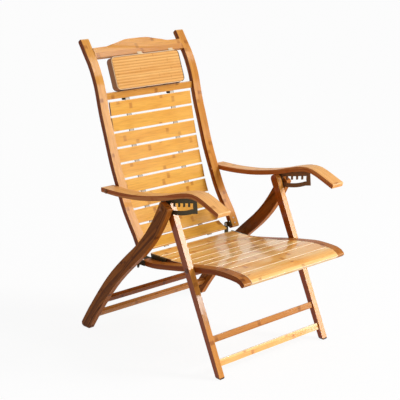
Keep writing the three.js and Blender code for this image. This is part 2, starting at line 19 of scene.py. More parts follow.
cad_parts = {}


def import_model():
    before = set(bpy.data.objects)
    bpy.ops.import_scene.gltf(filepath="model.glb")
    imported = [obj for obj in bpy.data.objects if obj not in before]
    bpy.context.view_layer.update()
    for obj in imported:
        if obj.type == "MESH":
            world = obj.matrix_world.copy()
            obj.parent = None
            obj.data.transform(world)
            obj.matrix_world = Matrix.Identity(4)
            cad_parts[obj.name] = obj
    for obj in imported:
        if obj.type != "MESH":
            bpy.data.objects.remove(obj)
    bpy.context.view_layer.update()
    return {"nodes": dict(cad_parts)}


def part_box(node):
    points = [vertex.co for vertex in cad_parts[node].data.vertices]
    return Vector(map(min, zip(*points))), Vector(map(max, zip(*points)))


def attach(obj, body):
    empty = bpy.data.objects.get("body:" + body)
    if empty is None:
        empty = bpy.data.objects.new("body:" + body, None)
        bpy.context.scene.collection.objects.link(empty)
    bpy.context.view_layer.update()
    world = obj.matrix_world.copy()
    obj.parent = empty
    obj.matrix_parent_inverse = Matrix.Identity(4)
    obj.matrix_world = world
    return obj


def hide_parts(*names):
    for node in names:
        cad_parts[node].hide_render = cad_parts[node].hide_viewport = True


LOG = logging.getLogger("recliner")
MILLIMETRE = 0.001
SIDES = {"left": 1, "right": -1}
# Edges that turn by more than this are eased, and those of a foot lie below the given height
SHARP_DEG = 42.0
FOOT_ZONE_MM = 3.0
# Facets of the frame that turn by less than this become one face before the edges are eased
FLAT_DEG = 0.6
# An edge whose direction is sideways by this share runs across the chair
ACROSS_SHARE = 0.98
# Steps of the rounding on a foot and on the other edges
FOOT_STEPS = 5
EDGE_STEPS = 3
# The shading of boards and of turned parts breaks at edges that turn by more than this
BOARD_SMOOTH_DEG = 38.0
TURNED_SMOOTH_DEG = 32.0
# Every board's pattern starts this far from the one before it, in metres along, across and into the board
PATTERN_STEP = (0.731, 0.0113, 0.0)
# A face cuts the layers and is painted darker, partly their stain and partly painted shade, where its direction is
# sideways by more than the first share, fully so after the second
STAIN_AND_SHADE_FROM = 0.35
STAIN_AND_SHADE_SPAN = 0.5
# Sockets of the Mix node when it mixes colours
MIX_UNDER = 6
MIX_OVER = 7
MIX_RESULT = 2


class Body(Enum):
    """The bodies of the frame that the pieces ride on."""

    FRONT = "front_frame"
    REAR = "rear_frame"
    SEAT = "seat"
    BACK = "back"
    ARMS = "arms"


class Run(Enum):
    """The way a board's fibres run."""

    ACROSS = "across the chair"
    BENT = "along a board bent in the side view"


def linear(colour: str) -> tuple[float, float, float, float]:
    """Turns an sRGB hex colour to linear light.

    Args:
        colour: six hex digits after a hash.

    Returns:
        Red, green, blue and an alpha of 1.
    """
    parts = [int(colour[i : i + 2], 16) / 255 for i in (1, 3, 5)]
    shades = [p / 12.92 if p <= 0.04045 else ((p + 0.055) / 1.055) ** 2.4 for p in parts]
    return (shades[0], shades[1], shades[2], 1.0)


def add_node(tree: bpy.types.NodeTree, kind: str, settings: dict[str, Any], links: dict[Any, Any]) -> bpy.types.Node:
    """Adds a node with its settings, values and links.

    Args:
        tree: the material's or world's node tree.
        kind: the node's type.
        settings: the node's own properties.
        links: an input's name or number, with the socket or the value that goes in.

    Returns:
        The new node.
    """
    node = tree.nodes.new(kind)
    for name, value in settings.items():
        setattr(node, name, value)
    for name, value in links.items():
        if isinstance(value, bpy.types.NodeSocket):
            tree.links.new(value, node.inputs[name])
        else:
            node.inputs[name].default_value = value
    return node


def new_material(name: str) -> tuple[bpy.types.Material, bpy.types.NodeTree, bpy.types.Node]:
    """Starts a material.

    Args:
        name: the material's name.

    Returns:
        The material, its tree and its output node.
    """
    material = bpy.data.materials.new(name)
    material.use_nodes = True
    tree = material.node_tree
    tree.nodes.clear()
    return material, tree, tree.nodes.new("ShaderNodeOutputMaterial")


@dataclass(frozen=True)
class LacqueredBamboo:
    """Carbonised bamboo, planed, glued up from strips and lacquered.

    The eye gets a warm honey tone, strips that differ a little, soft darker rings where the culm had its joints,
    fine fibres along the board and the shine of clear lacquer. The faces that cut the layers are darker, partly from
    the stain they take more deeply and partly as painted shade on faces that turn sideways, the eased edges are paler
    with a painted highlight, and the rounded rims of the feet are darker.
    """

    name: str
    pale: str
    honey: str
    ring: str
    # Colour of the faces that cut the layers: partly their stain, partly painted shade
    layers: str
    # Colour of the painted highlight on the eased edges
    wear_and_highlight: str
    # The rounded rims of the feet take this darker tone
    sole: str = "#4E2608"
    # How far the painted highlight pales the eased edges, above 1 where it has to show through the clouds
    highlight_share: float = 0.9
    strip_width_mm: float = 22.0
    strip_contrast: float = 0.7
    layer_mm: float = 5.5
    ring_pitch_mm: float = 210.0
    # How far a ring fades out to either side, the share of it that is fully dark, and the strips without a ring
    ring_reach_mm: float = 11.0
    ring_core: float = 0.3
    ringless_share: float = 0.3
    # Clouds of tone, about 110 mm long and 26 mm wide
    clouds_per_metre: tuple[float, float, float] = (9.0, 38.0, 38.0)
    # From the first cloud tone to the second one, the rings and the sanded edges show more and more
    patch_tones: tuple[float, float] = (0.3, 0.7)
    patch_shares: tuple[float, float] = (0.25, 0.8)
    fibre_width_mm: float = 1.6
    fibre_length_mm: float = 60.0
    # From the first value of the fibres' noise to the second one, a bundle gets darker
    bundle_values: tuple[float, float] = (0.44, 0.72)
    fibre_share: float = 0.42
    fibre_roughness: float = 0.16
    layer_contrast: float = 0.45
    bump_mm: float = 0.4
    bump_strength: float = 0.25
    roughness: float = 0.36
    lacquer: float = 0.12
    lacquer_roughness: float = 0.12
    specular: float = 0.12

    def build(self) -> bpy.types.Material:
        """Makes the material.

        Returns:
            The finished material.
        """
        material, tree, output = new_material(self.name)
        grain = add_node(tree, "ShaderNodeAttribute", {"attribute_name": "grain"}, {}).outputs["Vector"]
        split = add_node(tree, "ShaderNodeSeparateXYZ", {}, {0: grain})
        run, beside, deep = split.outputs
        strip = self.strip_number(tree, beside, self.strip_width_mm)
        layer = self.strip_number(tree, deep, self.layer_mm)
        cell = add_node(tree, "ShaderNodeCombineXYZ", {}, {0: strip, 1: layer})
        chance = add_node(tree, "ShaderNodeTexWhiteNoise", {"noise_dimensions": "3D"}, {"Vector": cell.outputs[0]})
        odds = add_node(tree, "ShaderNodeSeparateXYZ", {}, {0: chance.outputs["Color"]})
        ring = self.rings(tree, run, odds.outputs[0], odds.outputs[1])
        fibres = self.fibres(tree, grain)
        clouds = add_node(tree, "ShaderNodeMapping", {}, {"Vector": grain, "Scale": self.clouds_per_metre})
        cloud = add_node(
            tree, "ShaderNodeTexNoise", {}, {"Vector": clouds.outputs[0], "Scale": 1.0, "Detail": 3.0}
        )
        strip_tone = add_node(
            tree,
            "ShaderNodeMath",
            {"operation": "MULTIPLY_ADD"},
            {0: odds.outputs[2], 1: self.strip_contrast, 2: -self.strip_contrast / 2},
        )
        tone = add_node(
            tree,
            "ShaderNodeMath",
            {"operation": "ADD", "use_clamp": True},
            {0: cloud.outputs[0], 1: strip_tone.outputs[0]},
        )
        fibre_share = add_node(tree, "ShaderNodeMath", {"operation": "MULTIPLY"}, {0: fibres, 1: self.fibre_share})
        patchy = add_node(
            tree,
            "ShaderNodeMapRange",
            {},
            {
                "Value": cloud.outputs[0],
                "From Min": self.patch_tones[0],
                "From Max": self.patch_tones[1],
                "To Min": self.patch_shares[0],
                "To Max": self.patch_shares[1],
            },
        )
        ring_share = add_node(tree, "ShaderNodeMath", {"operation": "MULTIPLY"}, {0: ring, 1: patchy.outputs[0]})
        # The faces that cut the layers: their stain, partly painted shade on the faces that turn sideways
        edge = add_node(tree, "ShaderNodeAttribute", {"attribute_name": "edge"}, {})
        layer_tone = add_node(
            tree,
            "ShaderNodeMath",
            {"operation": "MULTIPLY_ADD"},
            {0: odds.outputs[2], 1: -self.layer_contrast, 2: 1.0},
        )
        layer_stain_and_shade = add_node(
            tree, "ShaderNodeMath", {"operation": "MULTIPLY"}, {0: edge.outputs["Fac"], 1: layer_tone.outputs[0]}
        )
        # Painted highlight on the eased edges, where they would catch light, stronger in some cloud patches
        rim = add_node(tree, "ShaderNodeAttribute", {"attribute_name": "wear_and_highlight"}, {})
        highlight_patches = add_node(
            tree, "ShaderNodeMath", {"operation": "MULTIPLY"}, {0: rim.outputs["Fac"], 1: patchy.outputs[0]}
        )
        painted_highlight_share = add_node(
            tree, "ShaderNodeMath", {"operation": "MULTIPLY"}, {0: highlight_patches.outputs[0], 1: self.highlight_share}
        )
        sole = add_node(tree, "ShaderNodeAttribute", {"attribute_name": "sole"}, {})
        colour: Any = linear(self.pale)
        for share, over in (
            (tone.outputs[0], self.honey),
            (fibre_share.outputs[0], self.ring),
            (ring_share.outputs[0], self.ring),
            (layer_stain_and_shade.outputs[0], self.layers),
            (painted_highlight_share.outputs[0], self.wear_and_highlight),
            (sole.outputs["Fac"], self.sole),
        ):
            mix = add_node(
                tree,
                "ShaderNodeMix",
                {"data_type": "RGBA"},
                {"Factor": share, MIX_UNDER: colour, MIX_OVER: linear(over)},
            )
            colour = mix.outputs[MIX_RESULT]
        height = add_node(tree, "ShaderNodeMath", {"operation": "SUBTRACT"}, {0: ring, 1: fibre_share.outputs[0]})
        bump = add_node(
            tree,
            "ShaderNodeBump",
            {},
            {
                "Strength": self.bump_strength,
                "Distance": self.bump_mm * MILLIMETRE,
                "Height": height.outputs[0],
            },
        )
        gloss = add_node(
            tree,
            "ShaderNodeMath",
            {"operation": "MULTIPLY_ADD"},
            {0: fibres, 1: self.fibre_roughness, 2: self.roughness},
        )
        shader = add_node(
            tree,
            "ShaderNodeBsdfPrincipled",
            {},
            {
                "Base Color": colour,
                "Roughness": gloss.outputs[0],
                "IOR": 1.5,
                "Specular IOR Level": self.specular,
                "Coat Weight": self.lacquer,
                "Coat Roughness": self.lacquer_roughness,
                "Normal": bump.outputs[0],
            },
        )
        tree.links.new(shader.outputs[0], output.inputs[0])
        return material

    @staticmethod
    def strip_number(tree: bpy.types.NodeTree, place: bpy.types.NodeSocket, width_mm: float) -> bpy.types.NodeSocket:
        """Numbers the strips or layers along one direction.

        Args:
            tree: the material's tree.
            place: the distance in metres.
            width_mm: the width of each.

        Returns:
            The socket with the number.
        """
        count = add_node(tree, "ShaderNodeMath", {"operation": "DIVIDE"}, {0: place, 1: width_mm * MILLIMETRE})
        return add_node(tree, "ShaderNodeMath", {"operation": "FLOOR"}, {0: count.outputs[0]}).outputs[0]

    def rings(
        self,
        tree: bpy.types.NodeTree,
        run: bpy.types.NodeSocket,
        shift: bpy.types.NodeSocket,
        luck: bpy.types.NodeSocket,
    ) -> bpy.types.NodeSocket:
        """Draws the culm's joints as darker rings across single strips.

        Args:
            tree: the material's tree.
            run: the distance along the board in metres.
            shift: a chance number that moves the rings of a strip.
            luck: a chance number that leaves some strips without rings.

        Returns:
            The socket with 1 on a ring and 0 off it.
        """
        pitch = self.ring_pitch_mm * MILLIMETRE
        turns = add_node(tree, "ShaderNodeMath", {"operation": "DIVIDE"}, {0: run, 1: pitch})
        moved = add_node(tree, "ShaderNodeMath", {"operation": "ADD"}, {0: turns.outputs[0], 1: shift})
        share = add_node(tree, "ShaderNodeMath", {"operation": "FRACT"}, {0: moved.outputs[0]})
        off = add_node(tree, "ShaderNodeMath", {"operation": "SUBTRACT"}, {0: share.outputs[0], 1: 0.5})
        gap = add_node(tree, "ShaderNodeMath", {"operation": "ABSOLUTE"}, {0: off.outputs[0]})
        reach = self.ring_reach_mm * MILLIMETRE / pitch
        ring = add_node(
            tree,
            "ShaderNodeMapRange",
            {"interpolation_type": "SMOOTHSTEP"},
            {
                "Value": gap.outputs[0],
                "From Min": reach * self.ring_core,
                "From Max": reach,
                "To Min": 1.0,
                "To Max": 0.0,
            },
        )
        kept = add_node(tree, "ShaderNodeMath", {"operation": "GREATER_THAN"}, {0: luck, 1: self.ringless_share})
        return add_node(
            tree, "ShaderNodeMath", {"operation": "MULTIPLY"}, {0: ring.outputs[0], 1: kept.outputs[0]}
        ).outputs[0]

    def fibres(self, tree: bpy.types.NodeTree, grain: bpy.types.NodeSocket) -> bpy.types.NodeSocket:
        """Draws the fibre bundles, coarser than the real 0.3 mm so that they show in the picture.

        Args:
            tree: the material's tree.
            grain: the place on the board in metres.

        Returns:
            The socket with 1 on a dark bundle.
        """
        scale = (
            1 / (self.fibre_length_mm * MILLIMETRE),
            1 / (self.fibre_width_mm * MILLIMETRE),
            1 / (self.fibre_width_mm * MILLIMETRE),
        )
        stretched = add_node(tree, "ShaderNodeMapping", {}, {"Vector": grain, "Scale": scale})
        noise = add_node(
            tree, "ShaderNodeTexNoise", {}, {"Vector": stretched.outputs[0], "Scale": 1.0, "Detail": 4.0}
        )
        return add_node(
            tree,
            "ShaderNodeMapRange",
            {"interpolation_type": "SMOOTHSTEP"},
            {"Value": noise.outputs[0], "From Min": self.bundle_values[0], "From Max": self.bundle_values[1]},
        ).outputs[0]


@dataclass(frozen=True)
class CoatedSteel:
    """Sheet or bar steel, either plated or under a thin coating, with faint rolling marks.

    The eye gets a metal or enamel shine that is a little uneven, as the coating wears through in soft patches.
    """

    name: str
    colour: str
    # The tone where the coating wears through
    wear_and_highlight: str
    metallic: float
    roughness: float
    mark_mm: float = 3.0
    # From the first value of the marks' noise to the second one, more of the worn tone shows, up to the share
    wear_values: tuple[float, float] = (0.45, 0.75)
    wear_share: float = 0.6
    mark_roughness: float = 0.15
    bump_mm: float = 0.2
    bump_strength: float = 0.15

    def build(self) -> bpy.types.Material:
        """Makes the material.

        Returns:
            The finished material.
        """
        material, tree, output = new_material(self.name)
        place = add_node(tree, "ShaderNodeTexCoord", {}, {}).outputs["Object"]
        noise = add_node(
            tree, "ShaderNodeTexNoise", {}, {"Vector": place, "Scale": 1 / (self.mark_mm * MILLIMETRE), "Detail": 4.0}
        )
        share = add_node(
            tree,
            "ShaderNodeMapRange",
            {},
            {
                "Value": noise.outputs[0],
                "From Min": self.wear_values[0],
                "From Max": self.wear_values[1],
                "To Max": self.wear_share,
            },
        )
        colour = add_node(
            tree,
            "ShaderNodeMix",
            {"data_type": "RGBA"},
            {"Factor": share.outputs[0], MIX_UNDER: linear(self.colour), MIX_OVER: linear(self.wear_and_highlight)},
        )
        gloss = add_node(
            tree,
            "ShaderNodeMath",
            {"operation": "MULTIPLY_ADD"},
            {0: noise.outputs[0], 1: self.mark_roughness, 2: self.roughness},
        )
        bump = add_node(
            tree,
            "ShaderNodeBump",
            {},
            {
                "Strength": self.bump_strength,
                "Distance": self.bump_mm * MILLIMETRE,
                "Height": noise.outputs[0],
            },
        )
        shader = add_node(
            tree,
            "ShaderNodeBsdfPrincipled",
            {},
            {
                "Base Color": colour.outputs[MIX_RESULT],
                "Metallic": self.metallic,
                "Roughness": gloss.outputs[0],
                "Normal": bump.outputs[0],
            },
        )
        tree.links.new(shader.outputs[0], output.inputs[0])
        return material


@dataclass(frozen=True)
class WovenCloth:
    """Polyester or cotton in a plain weave, with the threads crossing at the given spacing.

    The eye gets a dull, soft surface in a fine check of two near tones. The threads are drawn coarser than the real
    0.5 mm so that they show in the picture.
    """

    name: str
    thread: str
    shade: str
    thread_mm: float
    bump_mm: float = 0.3
    bump_strength: float = 0.5
    sheen: float = 0.2
    roughness: float = 0.85
    # The darker woven edges of a band: how far its middle is from the chair's, its half width and an edge's width
    edge_colour: str = ""
    middle_mm: float = 0.0
    half_mm: float = 0.0
    edge_mm: float = 3.0
    fade_mm: float = 0.5

    def build(self) -> bpy.types.Material:
        """Makes the material.

        Returns:
            The finished material.
        """
        material, tree, output = new_material(self.name)
        grain = add_node(tree, "ShaderNodeAttribute", {"attribute_name": "grain"}, {}).outputs["Vector"]
        turns = math.pi / (self.thread_mm * MILLIMETRE)
        scaled = add_node(tree, "ShaderNodeVectorMath", {"operation": "SCALE"}, {0: grain, "Scale": turns})
        waves = add_node(tree, "ShaderNodeVectorMath", {"operation": "SINE"}, {0: scaled.outputs[0]})
        lines = add_node(tree, "ShaderNodeSeparateXYZ", {}, {0: waves.outputs[0]})
        weave = add_node(
            tree, "ShaderNodeMath", {"operation": "MULTIPLY"}, {0: lines.outputs[0], 1: lines.outputs[1]}
        )
        share = add_node(
            tree, "ShaderNodeMapRange", {}, {"Value": weave.outputs[0], "From Min": -1.0, "From Max": 1.0}
        )
        cloth = add_node(
            tree,
            "ShaderNodeMix",
            {"data_type": "RGBA"},
            {"Factor": share.outputs[0], MIX_UNDER: linear(self.thread), MIX_OVER: linear(self.shade)},
        )
        colour = cloth.outputs[MIX_RESULT]
        if self.edge_colour:
            place = add_node(tree, "ShaderNodeTexCoord", {}, {}).outputs["Object"]
            across = add_node(tree, "ShaderNodeSeparateXYZ", {}, {0: place}).outputs[0]
            aside = add_node(tree, "ShaderNodeMath", {"operation": "ABSOLUTE"}, {0: across})
            off = add_node(
                tree,
                "ShaderNodeMath",
                {"operation": "SUBTRACT"},
                {0: aside.outputs[0], 1: self.middle_mm * MILLIMETRE},
            )
            far = add_node(tree, "ShaderNodeMath", {"operation": "ABSOLUTE"}, {0: off.outputs[0]})
            inner = (self.half_mm - self.edge_mm) * MILLIMETRE
            hem = add_node(
                tree,
                "ShaderNodeMapRange",
                {},
                {"Value": far.outputs[0], "From Min": inner, "From Max": inner + self.fade_mm * MILLIMETRE},
            )
            banded = add_node(
                tree,
                "ShaderNodeMix",
                {"data_type": "RGBA"},
                {"Factor": hem.outputs[0], MIX_UNDER: colour, MIX_OVER: linear(self.edge_colour)},
            )
            colour = banded.outputs[MIX_RESULT]
        bump = add_node(
            tree,
            "ShaderNodeBump",
            {},
            {
                "Strength": self.bump_strength,
                "Distance": self.bump_mm * MILLIMETRE,
                "Height": share.outputs[0],
            },
        )
        shader = add_node(
            tree,
            "ShaderNodeBsdfPrincipled",
            {},
            {
                "Base Color": colour,
                "Roughness": self.roughness,
                "Sheen Weight": self.sheen,
                "Normal": bump.outputs[0],
            },
        )
        tree.links.new(shader.outputs[0], output.inputs[0])
        return material


@dataclass(frozen=True)
class MouldedPlastic:
    """Black ABS, injection moulded, with a fine eroded texture from the mould.

    The eye gets an even, dull black with a weak, broad highlight.
    """

    name: str
    colour: str
    raised: str = "#101012"
    texture_mm: float = 0.8
    bump_mm: float = 0.1
    bump_strength: float = 0.2
    roughness: float = 0.45
    specular: float = 0.1

    def build(self) -> bpy.types.Material:
        """Makes the material.

        Returns:
            The finished material.
        """
        material, tree, output = new_material(self.name)
        place = add_node(tree, "ShaderNodeTexCoord", {}, {}).outputs["Object"]
        noise = add_node(
            tree, "ShaderNodeTexNoise", {}, {"Vector": place, "Scale": 1 / (self.texture_mm * MILLIMETRE)}
        )
        bump = add_node(
            tree,
            "ShaderNodeBump",
            {},
            {
                "Strength": self.bump_strength,
                "Distance": self.bump_mm * MILLIMETRE,
                "Height": noise.outputs[0],
            },
        )
        colour = add_node(
            tree,
            "ShaderNodeMix",
            {"data_type": "RGBA"},
            {"Factor": noise.outputs[0], MIX_UNDER: linear(self.colour), MIX_OVER: linear(self.raised)},
        )
        shader = add_node(
            tree,
            "ShaderNodeBsdfPrincipled",
            {},
            {
                "Base Color": colour.outputs[MIX_RESULT],
                "Roughness": self.roughness,
                "Specular IOR Level": self.specular,
                "Normal": bump.outputs[0],
            },
        )
        tree.links.new(shader.outputs[0], output.inputs[0])
        return material


@dataclass
class Finishes:
    """All the materials of the chair."""

    # Frame boards: deeper honey, with the layers' edges in a red brown that is partly painted shade
    frame: bpy.types.Material = field(
        default_factory=LacqueredBamboo(
            "lacquered_bamboo_honey", "#DFA04A", "#C67F30", "#94521A", "#702400", "#F2C284",
            lacquer=0.17, specular=0.04,
        ).build
    )
    # Seat rails: the same boards from the darker side of the culm
    rail: bpy.types.Material = field(
        default_factory=LacqueredBamboo(
            "lacquered_bamboo_rail", "#C47C38", "#A25E22", "#6E3810", "#742800", "#D9A066",
            lacquer=0.12, specular=0.04,
        ).build
    )
    # Front legs: the same bamboo under a thick, smooth coat of lacquer that mirrors the window
    leg: bpy.types.Material = field(
        default_factory=LacqueredBamboo(
            "lacquered_bamboo_leg", "#E8A850", "#CE8436", "#94521A", "#8A3600", "#F2C284",
            lacquer=0.55, lacquer_roughness=0.1, specular=0.03, layer_contrast=0.12,
        ).build
    )
    # Arms: bent laminate, whose thin layers are lighter on the sides
    arm: bpy.types.Material = field(
        default_factory=LacqueredBamboo(
            "bent_laminated_bamboo", "#FABE76", "#E49E56", "#B0662A", "#98440E", "#FFDAA6", layer_mm=3.0,
            lacquer=0.1, specular=0.05,
        ).build
    )
    # Two of the stretchers under the seat: the honey bamboo in a darker tan, as painted shade
    tan: bpy.types.Material = field(
        default_factory=LacqueredBamboo(
            "lacquered_bamboo_painted_shade", "#CE8C46", "#AE6A2C", "#7B4218", "#6E2E08", "#DDA667", specular=0.06
        ).build
    )
    # Slats: thinner strips near the culm's skin, paler and more yellow
    slat: bpy.types.Material = field(
        default_factory=LacqueredBamboo(
            "lacquered_bamboo_slat", "#F0B750", "#E19B37", "#AE641E", "#7A3208", "#FAD79C",
            highlight_share=1.2, roughness=0.34, lacquer=0.05, specular=0.06,
        ).build
    )
    # Seat slats, seat front rail and lower front stretcher: the same strips under a thicker, glossier coat of lacquer
    seat: bpy.types.Material = field(
        default_factory=LacqueredBamboo(
            "lacquered_bamboo_seat", "#FFDA8A", "#EEA244", "#AE5C1C", "#702C06", "#FFEDC8",
            highlight_share=1.7, roughness=0.3, lacquer=0.5, lacquer_roughness=0.1, specular=0.2,
        ).build
    )
    # Upper rear stretcher and cleats: carbonised for longer, so darker throughout
    amber: bpy.types.Material = field(
        default_factory=LacqueredBamboo(
            "lacquered_bamboo_amber", "#A45C22", "#7A3E14", "#4A1F08", "#5A2806", "#B87840",
            lacquer=0.05, specular=0.04, layer_contrast=0.75,
        ).build
    )
    # Rear legs: the same bamboo in thinner layers, some of which stayed lighter and show as streaks on the sides
    rear: bpy.types.Material = field(
        default_factory=LacqueredBamboo(
            "lacquered_bamboo_rear_leg", "#C4762E", "#94521A", "#4A1F08", "#592A08", "#B87840", layer_mm=4.5,
            lacquer=0.05, specular=0.04, layer_contrast=0.8,
        ).build
    )
    # Headrest strips: split bamboo, sanded thin and sewn side by side, pale with a soft shine
    strip: bpy.types.Material = field(
        default_factory=LacqueredBamboo(
            "split_bamboo_strip", "#EDB76E", "#DA9A50", "#B87838", "#B87838", "#FFDCA4",
            strip_width_mm=11.5, ring_pitch_mm=260.0, ring_reach_mm=2.5, roughness=0.46, lacquer=0.04, specular=0.06,
            fibre_share=0.2,
        ).build
    )
    # Edging of the headrest's rim where it shows light: a pale split cane, sanded smooth, whose paleness is partly a
    # painted highlight
    edging: bpy.types.Material = field(
        default_factory=LacqueredBamboo(
            "split_cane_edging", "#FFEBC8", "#F8DCAE", "#D9A560", "#F4D2A0", "#FFF4DC", specular=0.1, fibre_share=0.2
        ).build
    )
    # Cover of the headrest's sides and back: brown woven cloth
    cover: bpy.types.Material = field(
        default_factory=WovenCloth("woven_cover_brown", "#BC8255", "#945E38", 1.6).build
    )
    # Dark edging on the chair's left side of the headrest, rear piping and lower loops: tape woven like the cover, in
    # a darker brown, which on the edging is painted shade
    binding: bpy.types.Material = field(
        default_factory=WovenCloth("woven_binding_dark", "#5A3018", "#43210E", 1.2).build
    )
    # Loops above the headrest: undyed cotton tape
    tie: bpy.types.Material = field(
        default_factory=WovenCloth("woven_cotton_tape", "#F0DDBB", "#D6BE96", 1.4).build
    )
    # Straps behind the slats: pale grey polyester webbing with darker woven edges
    webbing: bpy.types.Material = field(
        default_factory=WovenCloth(
            "polyester_webbing_grey", "#ECE9E0", "#C9C5B8", 1.8, edge_colour="#7C766A", middle_mm=110.0, half_mm=11.0
        ).build
    )
    # Right notch plate, hinge leaves and hooks: sheet steel with a bronze-black oxide coating
    black_steel: bpy.types.Material = field(
        default_factory=CoatedSteel("oxide_coated_steel", "#3B331D", "#5C5030", 0.7, 0.36).build
    )
    # Left notch plate: the same coating in a lighter brown, painted light on its lit inner face
    lit_plate_steel: bpy.types.Material = field(
        default_factory=CoatedSteel("oxide_coated_steel_painted_light", "#6B4A30", "#82603E", 0.5, 0.42).build
    )
    # Dome nuts and arm bolts: bronze plating, which hardly stands out from the wood
    bronzed_steel: bpy.types.Material = field(
        default_factory=CoatedSteel("bronze_plated_steel", "#7E5236", "#5E3A22", 1.0, 0.36).build
    )
    # Stubs, rivets and screws: bright zinc plating
    bright_steel: bpy.types.Material = field(
        default_factory=CoatedSteel("zinc_plated_steel", "#C9C9C6", "#A5A5A0", 1.0, 0.2).build
    )
    # Heads of the seat's pivot bolts: brown enamel over steel, so that they hardly show on the legs
    brown_head: bpy.types.Material = field(
        default_factory=CoatedSteel("brown_enamelled_steel", "#5E2C12", "#70391A", 0.0, 0.4).build
    )
    # Plugs beside the straps: black ABS
    plug: bpy.types.Material = field(default_factory=MouldedPlastic("moulded_abs_black", "#0A0A0B").build)


def mesh_object(name: str, mesh: bpy.types.Mesh) -> bpy.types.Object:
    """Links a new object at the origin.

    Args:
        name: the piece's name.
        mesh: its mesh.

    Returns:
        The object.
    """
    piece = bpy.data.objects.new(name, mesh)
    bpy.context.scene.collection.objects.link(piece)
    return piece


def smooth_piece(name: str, made: bmesh.types.BMesh, sharp_deg: float) -> bpy.types.Object:
    """Turns a finished mesh to a piece with its faces outward, smooth but for its sharp edges.

    Args:
        name: the piece's name.
        made: its mesh, which is used up.
        sharp_deg: the shading breaks at edges that turn by more than this.

    Returns:
        The piece.
    """
    bmesh.ops.recalc_face_normals(made, faces=made.faces)
    mesh = bpy.data.meshes.new(name)
    made.to_mesh(mesh)
    made.free()
    mesh.shade_smooth()
    mesh.set_sharp_from_angle(angle=math.radians(sharp_deg))
    return mesh_object(name, mesh)


def skin(made: bmesh.types.BMesh, rings: Sequence[Sequence[bmesh.types.BMVert]]) -> None:
    """Joins rings of points to a body with closed ends.

    Args:
        made: the mesh that takes it.
        rings: the rings from one end to the other, each with as many points.
    """
    count = len(rings[0])
    for near, far in zip(rings[:-1], rings[1:]):
        for i in range(count):
            j = (i + 1) % count
            made.faces.new((near[i], near[j], far[j], far[i]))
    made.faces.new(list(reversed(rings[0])))
    made.faces.new(rings[-1])


@dataclass(frozen=True)
class Easing:
    """How the edges of a board are rounded: the long ones, those across the chair, a foot's rim and its heel."""

    long_mm: float
    end_mm: float
    foot_mm: float = 0.0
    heel_mm: float = 0.0


def centre_line(points: np.ndarray, stations: int = 30, thinnest_mm: float = 4.0) -> np.ndarray:
    """Finds the middle line of a bent board in the side view.

    Args:
        points: the board's vertices as (y, z).
        stations: how many places along the board are used.
        thinnest_mm: a place counts where the board is thicker than this.

    Returns:
        The line's points in order.
    """
    middle = points.mean(axis=0)
    axes = np.linalg.svd(points - middle, full_matrices=False)[2]
    flat = (points - middle) @ axes.T
    edges = np.linspace(flat[:, 0].min(), flat[:, 0].max() + 1e-9, stations + 1)
    line = []
    for low, high in zip(edges[:-1], edges[1:]):
        inside = flat[(flat[:, 0] >= low) & (flat[:, 0] < high)]
        if len(inside) > 1 and np.ptp(inside[:, 1]) > thinnest_mm * MILLIMETRE:
            line.append([inside[:, 0].mean(), (inside[:, 1].min() + inside[:, 1].max()) / 2])
    if len(line) < 2:
        line = [[edges[0], 0.0], [edges[-1], 0.0]]
    return np.array(line) @ axes + middle


def beside_line(points: np.ndarray, line: np.ndarray) -> tuple[np.ndarray, np.ndarray]:
    """Measures points along and beside a line.

    Args:
        points: the points as (y, z).
        line: the line's points in order.

    Returns:
        The distance along the line and the signed distance from it, for each point.
    """
    starts, ends = line[:-1], line[1:]
    steps = ends - starts
    lengths = np.linalg.norm(steps, axis=1)
    before = np.concatenate([[0], np.cumsum(lengths)[:-1]])
    offsets = points[:, None, :] - starts[None, :, :]
    share = np.einsum("ijk,jk->ij", offsets, steps) / lengths**2
    low = np.where(np.arange(len(starts)) == 0, -np.inf, 0.0)
    high = np.where(np.arange(len(starts)) == len(starts) - 1, np.inf, 1.0)
    share = np.clip(share, low, high)
    feet = starts[None] + share[..., None] * steps[None]
    gaps = np.linalg.norm(points[:, None, :] - feet, axis=2)
    best = gaps.argmin(axis=1)
    row = np.arange(len(points))
    unit = steps[best] / lengths[best][:, None]
    aside = offsets[row, best]
    signed = unit[:, 0] * aside[:, 1] - unit[:, 1] * aside[:, 0]
    return before[best] + share[row, best] * lengths[best], signed


def write_grain(mesh: bpy.types.Mesh, run: Run, seed: int) -> None:
    """Stores where each point lies on its board, and which faces cut the layers and take their stain, partly painted
    shade.

    Args:
        mesh: the finished mesh.
        run: the way the fibres run.
        seed: the piece's number, which shifts its pattern.
    """
    places = np.empty(len(mesh.vertices) * 3)
    mesh.vertices.foreach_get("co", places)
    places = places.reshape(-1, 3)
    if run is Run.BENT:
        along, deep = beside_line(places[:, 1:], centre_line(places[:, 1:]))
        grain = np.stack([along, places[:, 0], deep], axis=1)
    else:
        flat = places[:, 1:] - places[:, 1:].mean(axis=0)
        axes = np.linalg.svd(flat, full_matrices=False)[2]
        grain = np.concatenate([places[:, :1], flat @ axes.T], axis=1)
    grain += np.array(PATTERN_STEP) * seed
    layer = mesh.attributes.new("grain", "FLOAT_VECTOR", "POINT")
    layer.data.foreach_set("vector", grain.astype(np.float32).ravel())
    normals = np.empty(len(mesh.polygons) * 3)
    mesh.polygons.foreach_get("normal", normals)
    cut = np.clip((np.abs(normals.reshape(-1, 3)[:, 0]) - STAIN_AND_SHADE_FROM) / STAIN_AND_SHADE_SPAN, 0, 1)
    edge = mesh.attributes.new("edge", "FLOAT", "FACE")
    edge.data.foreach_set("value", cut.astype(np.float32))


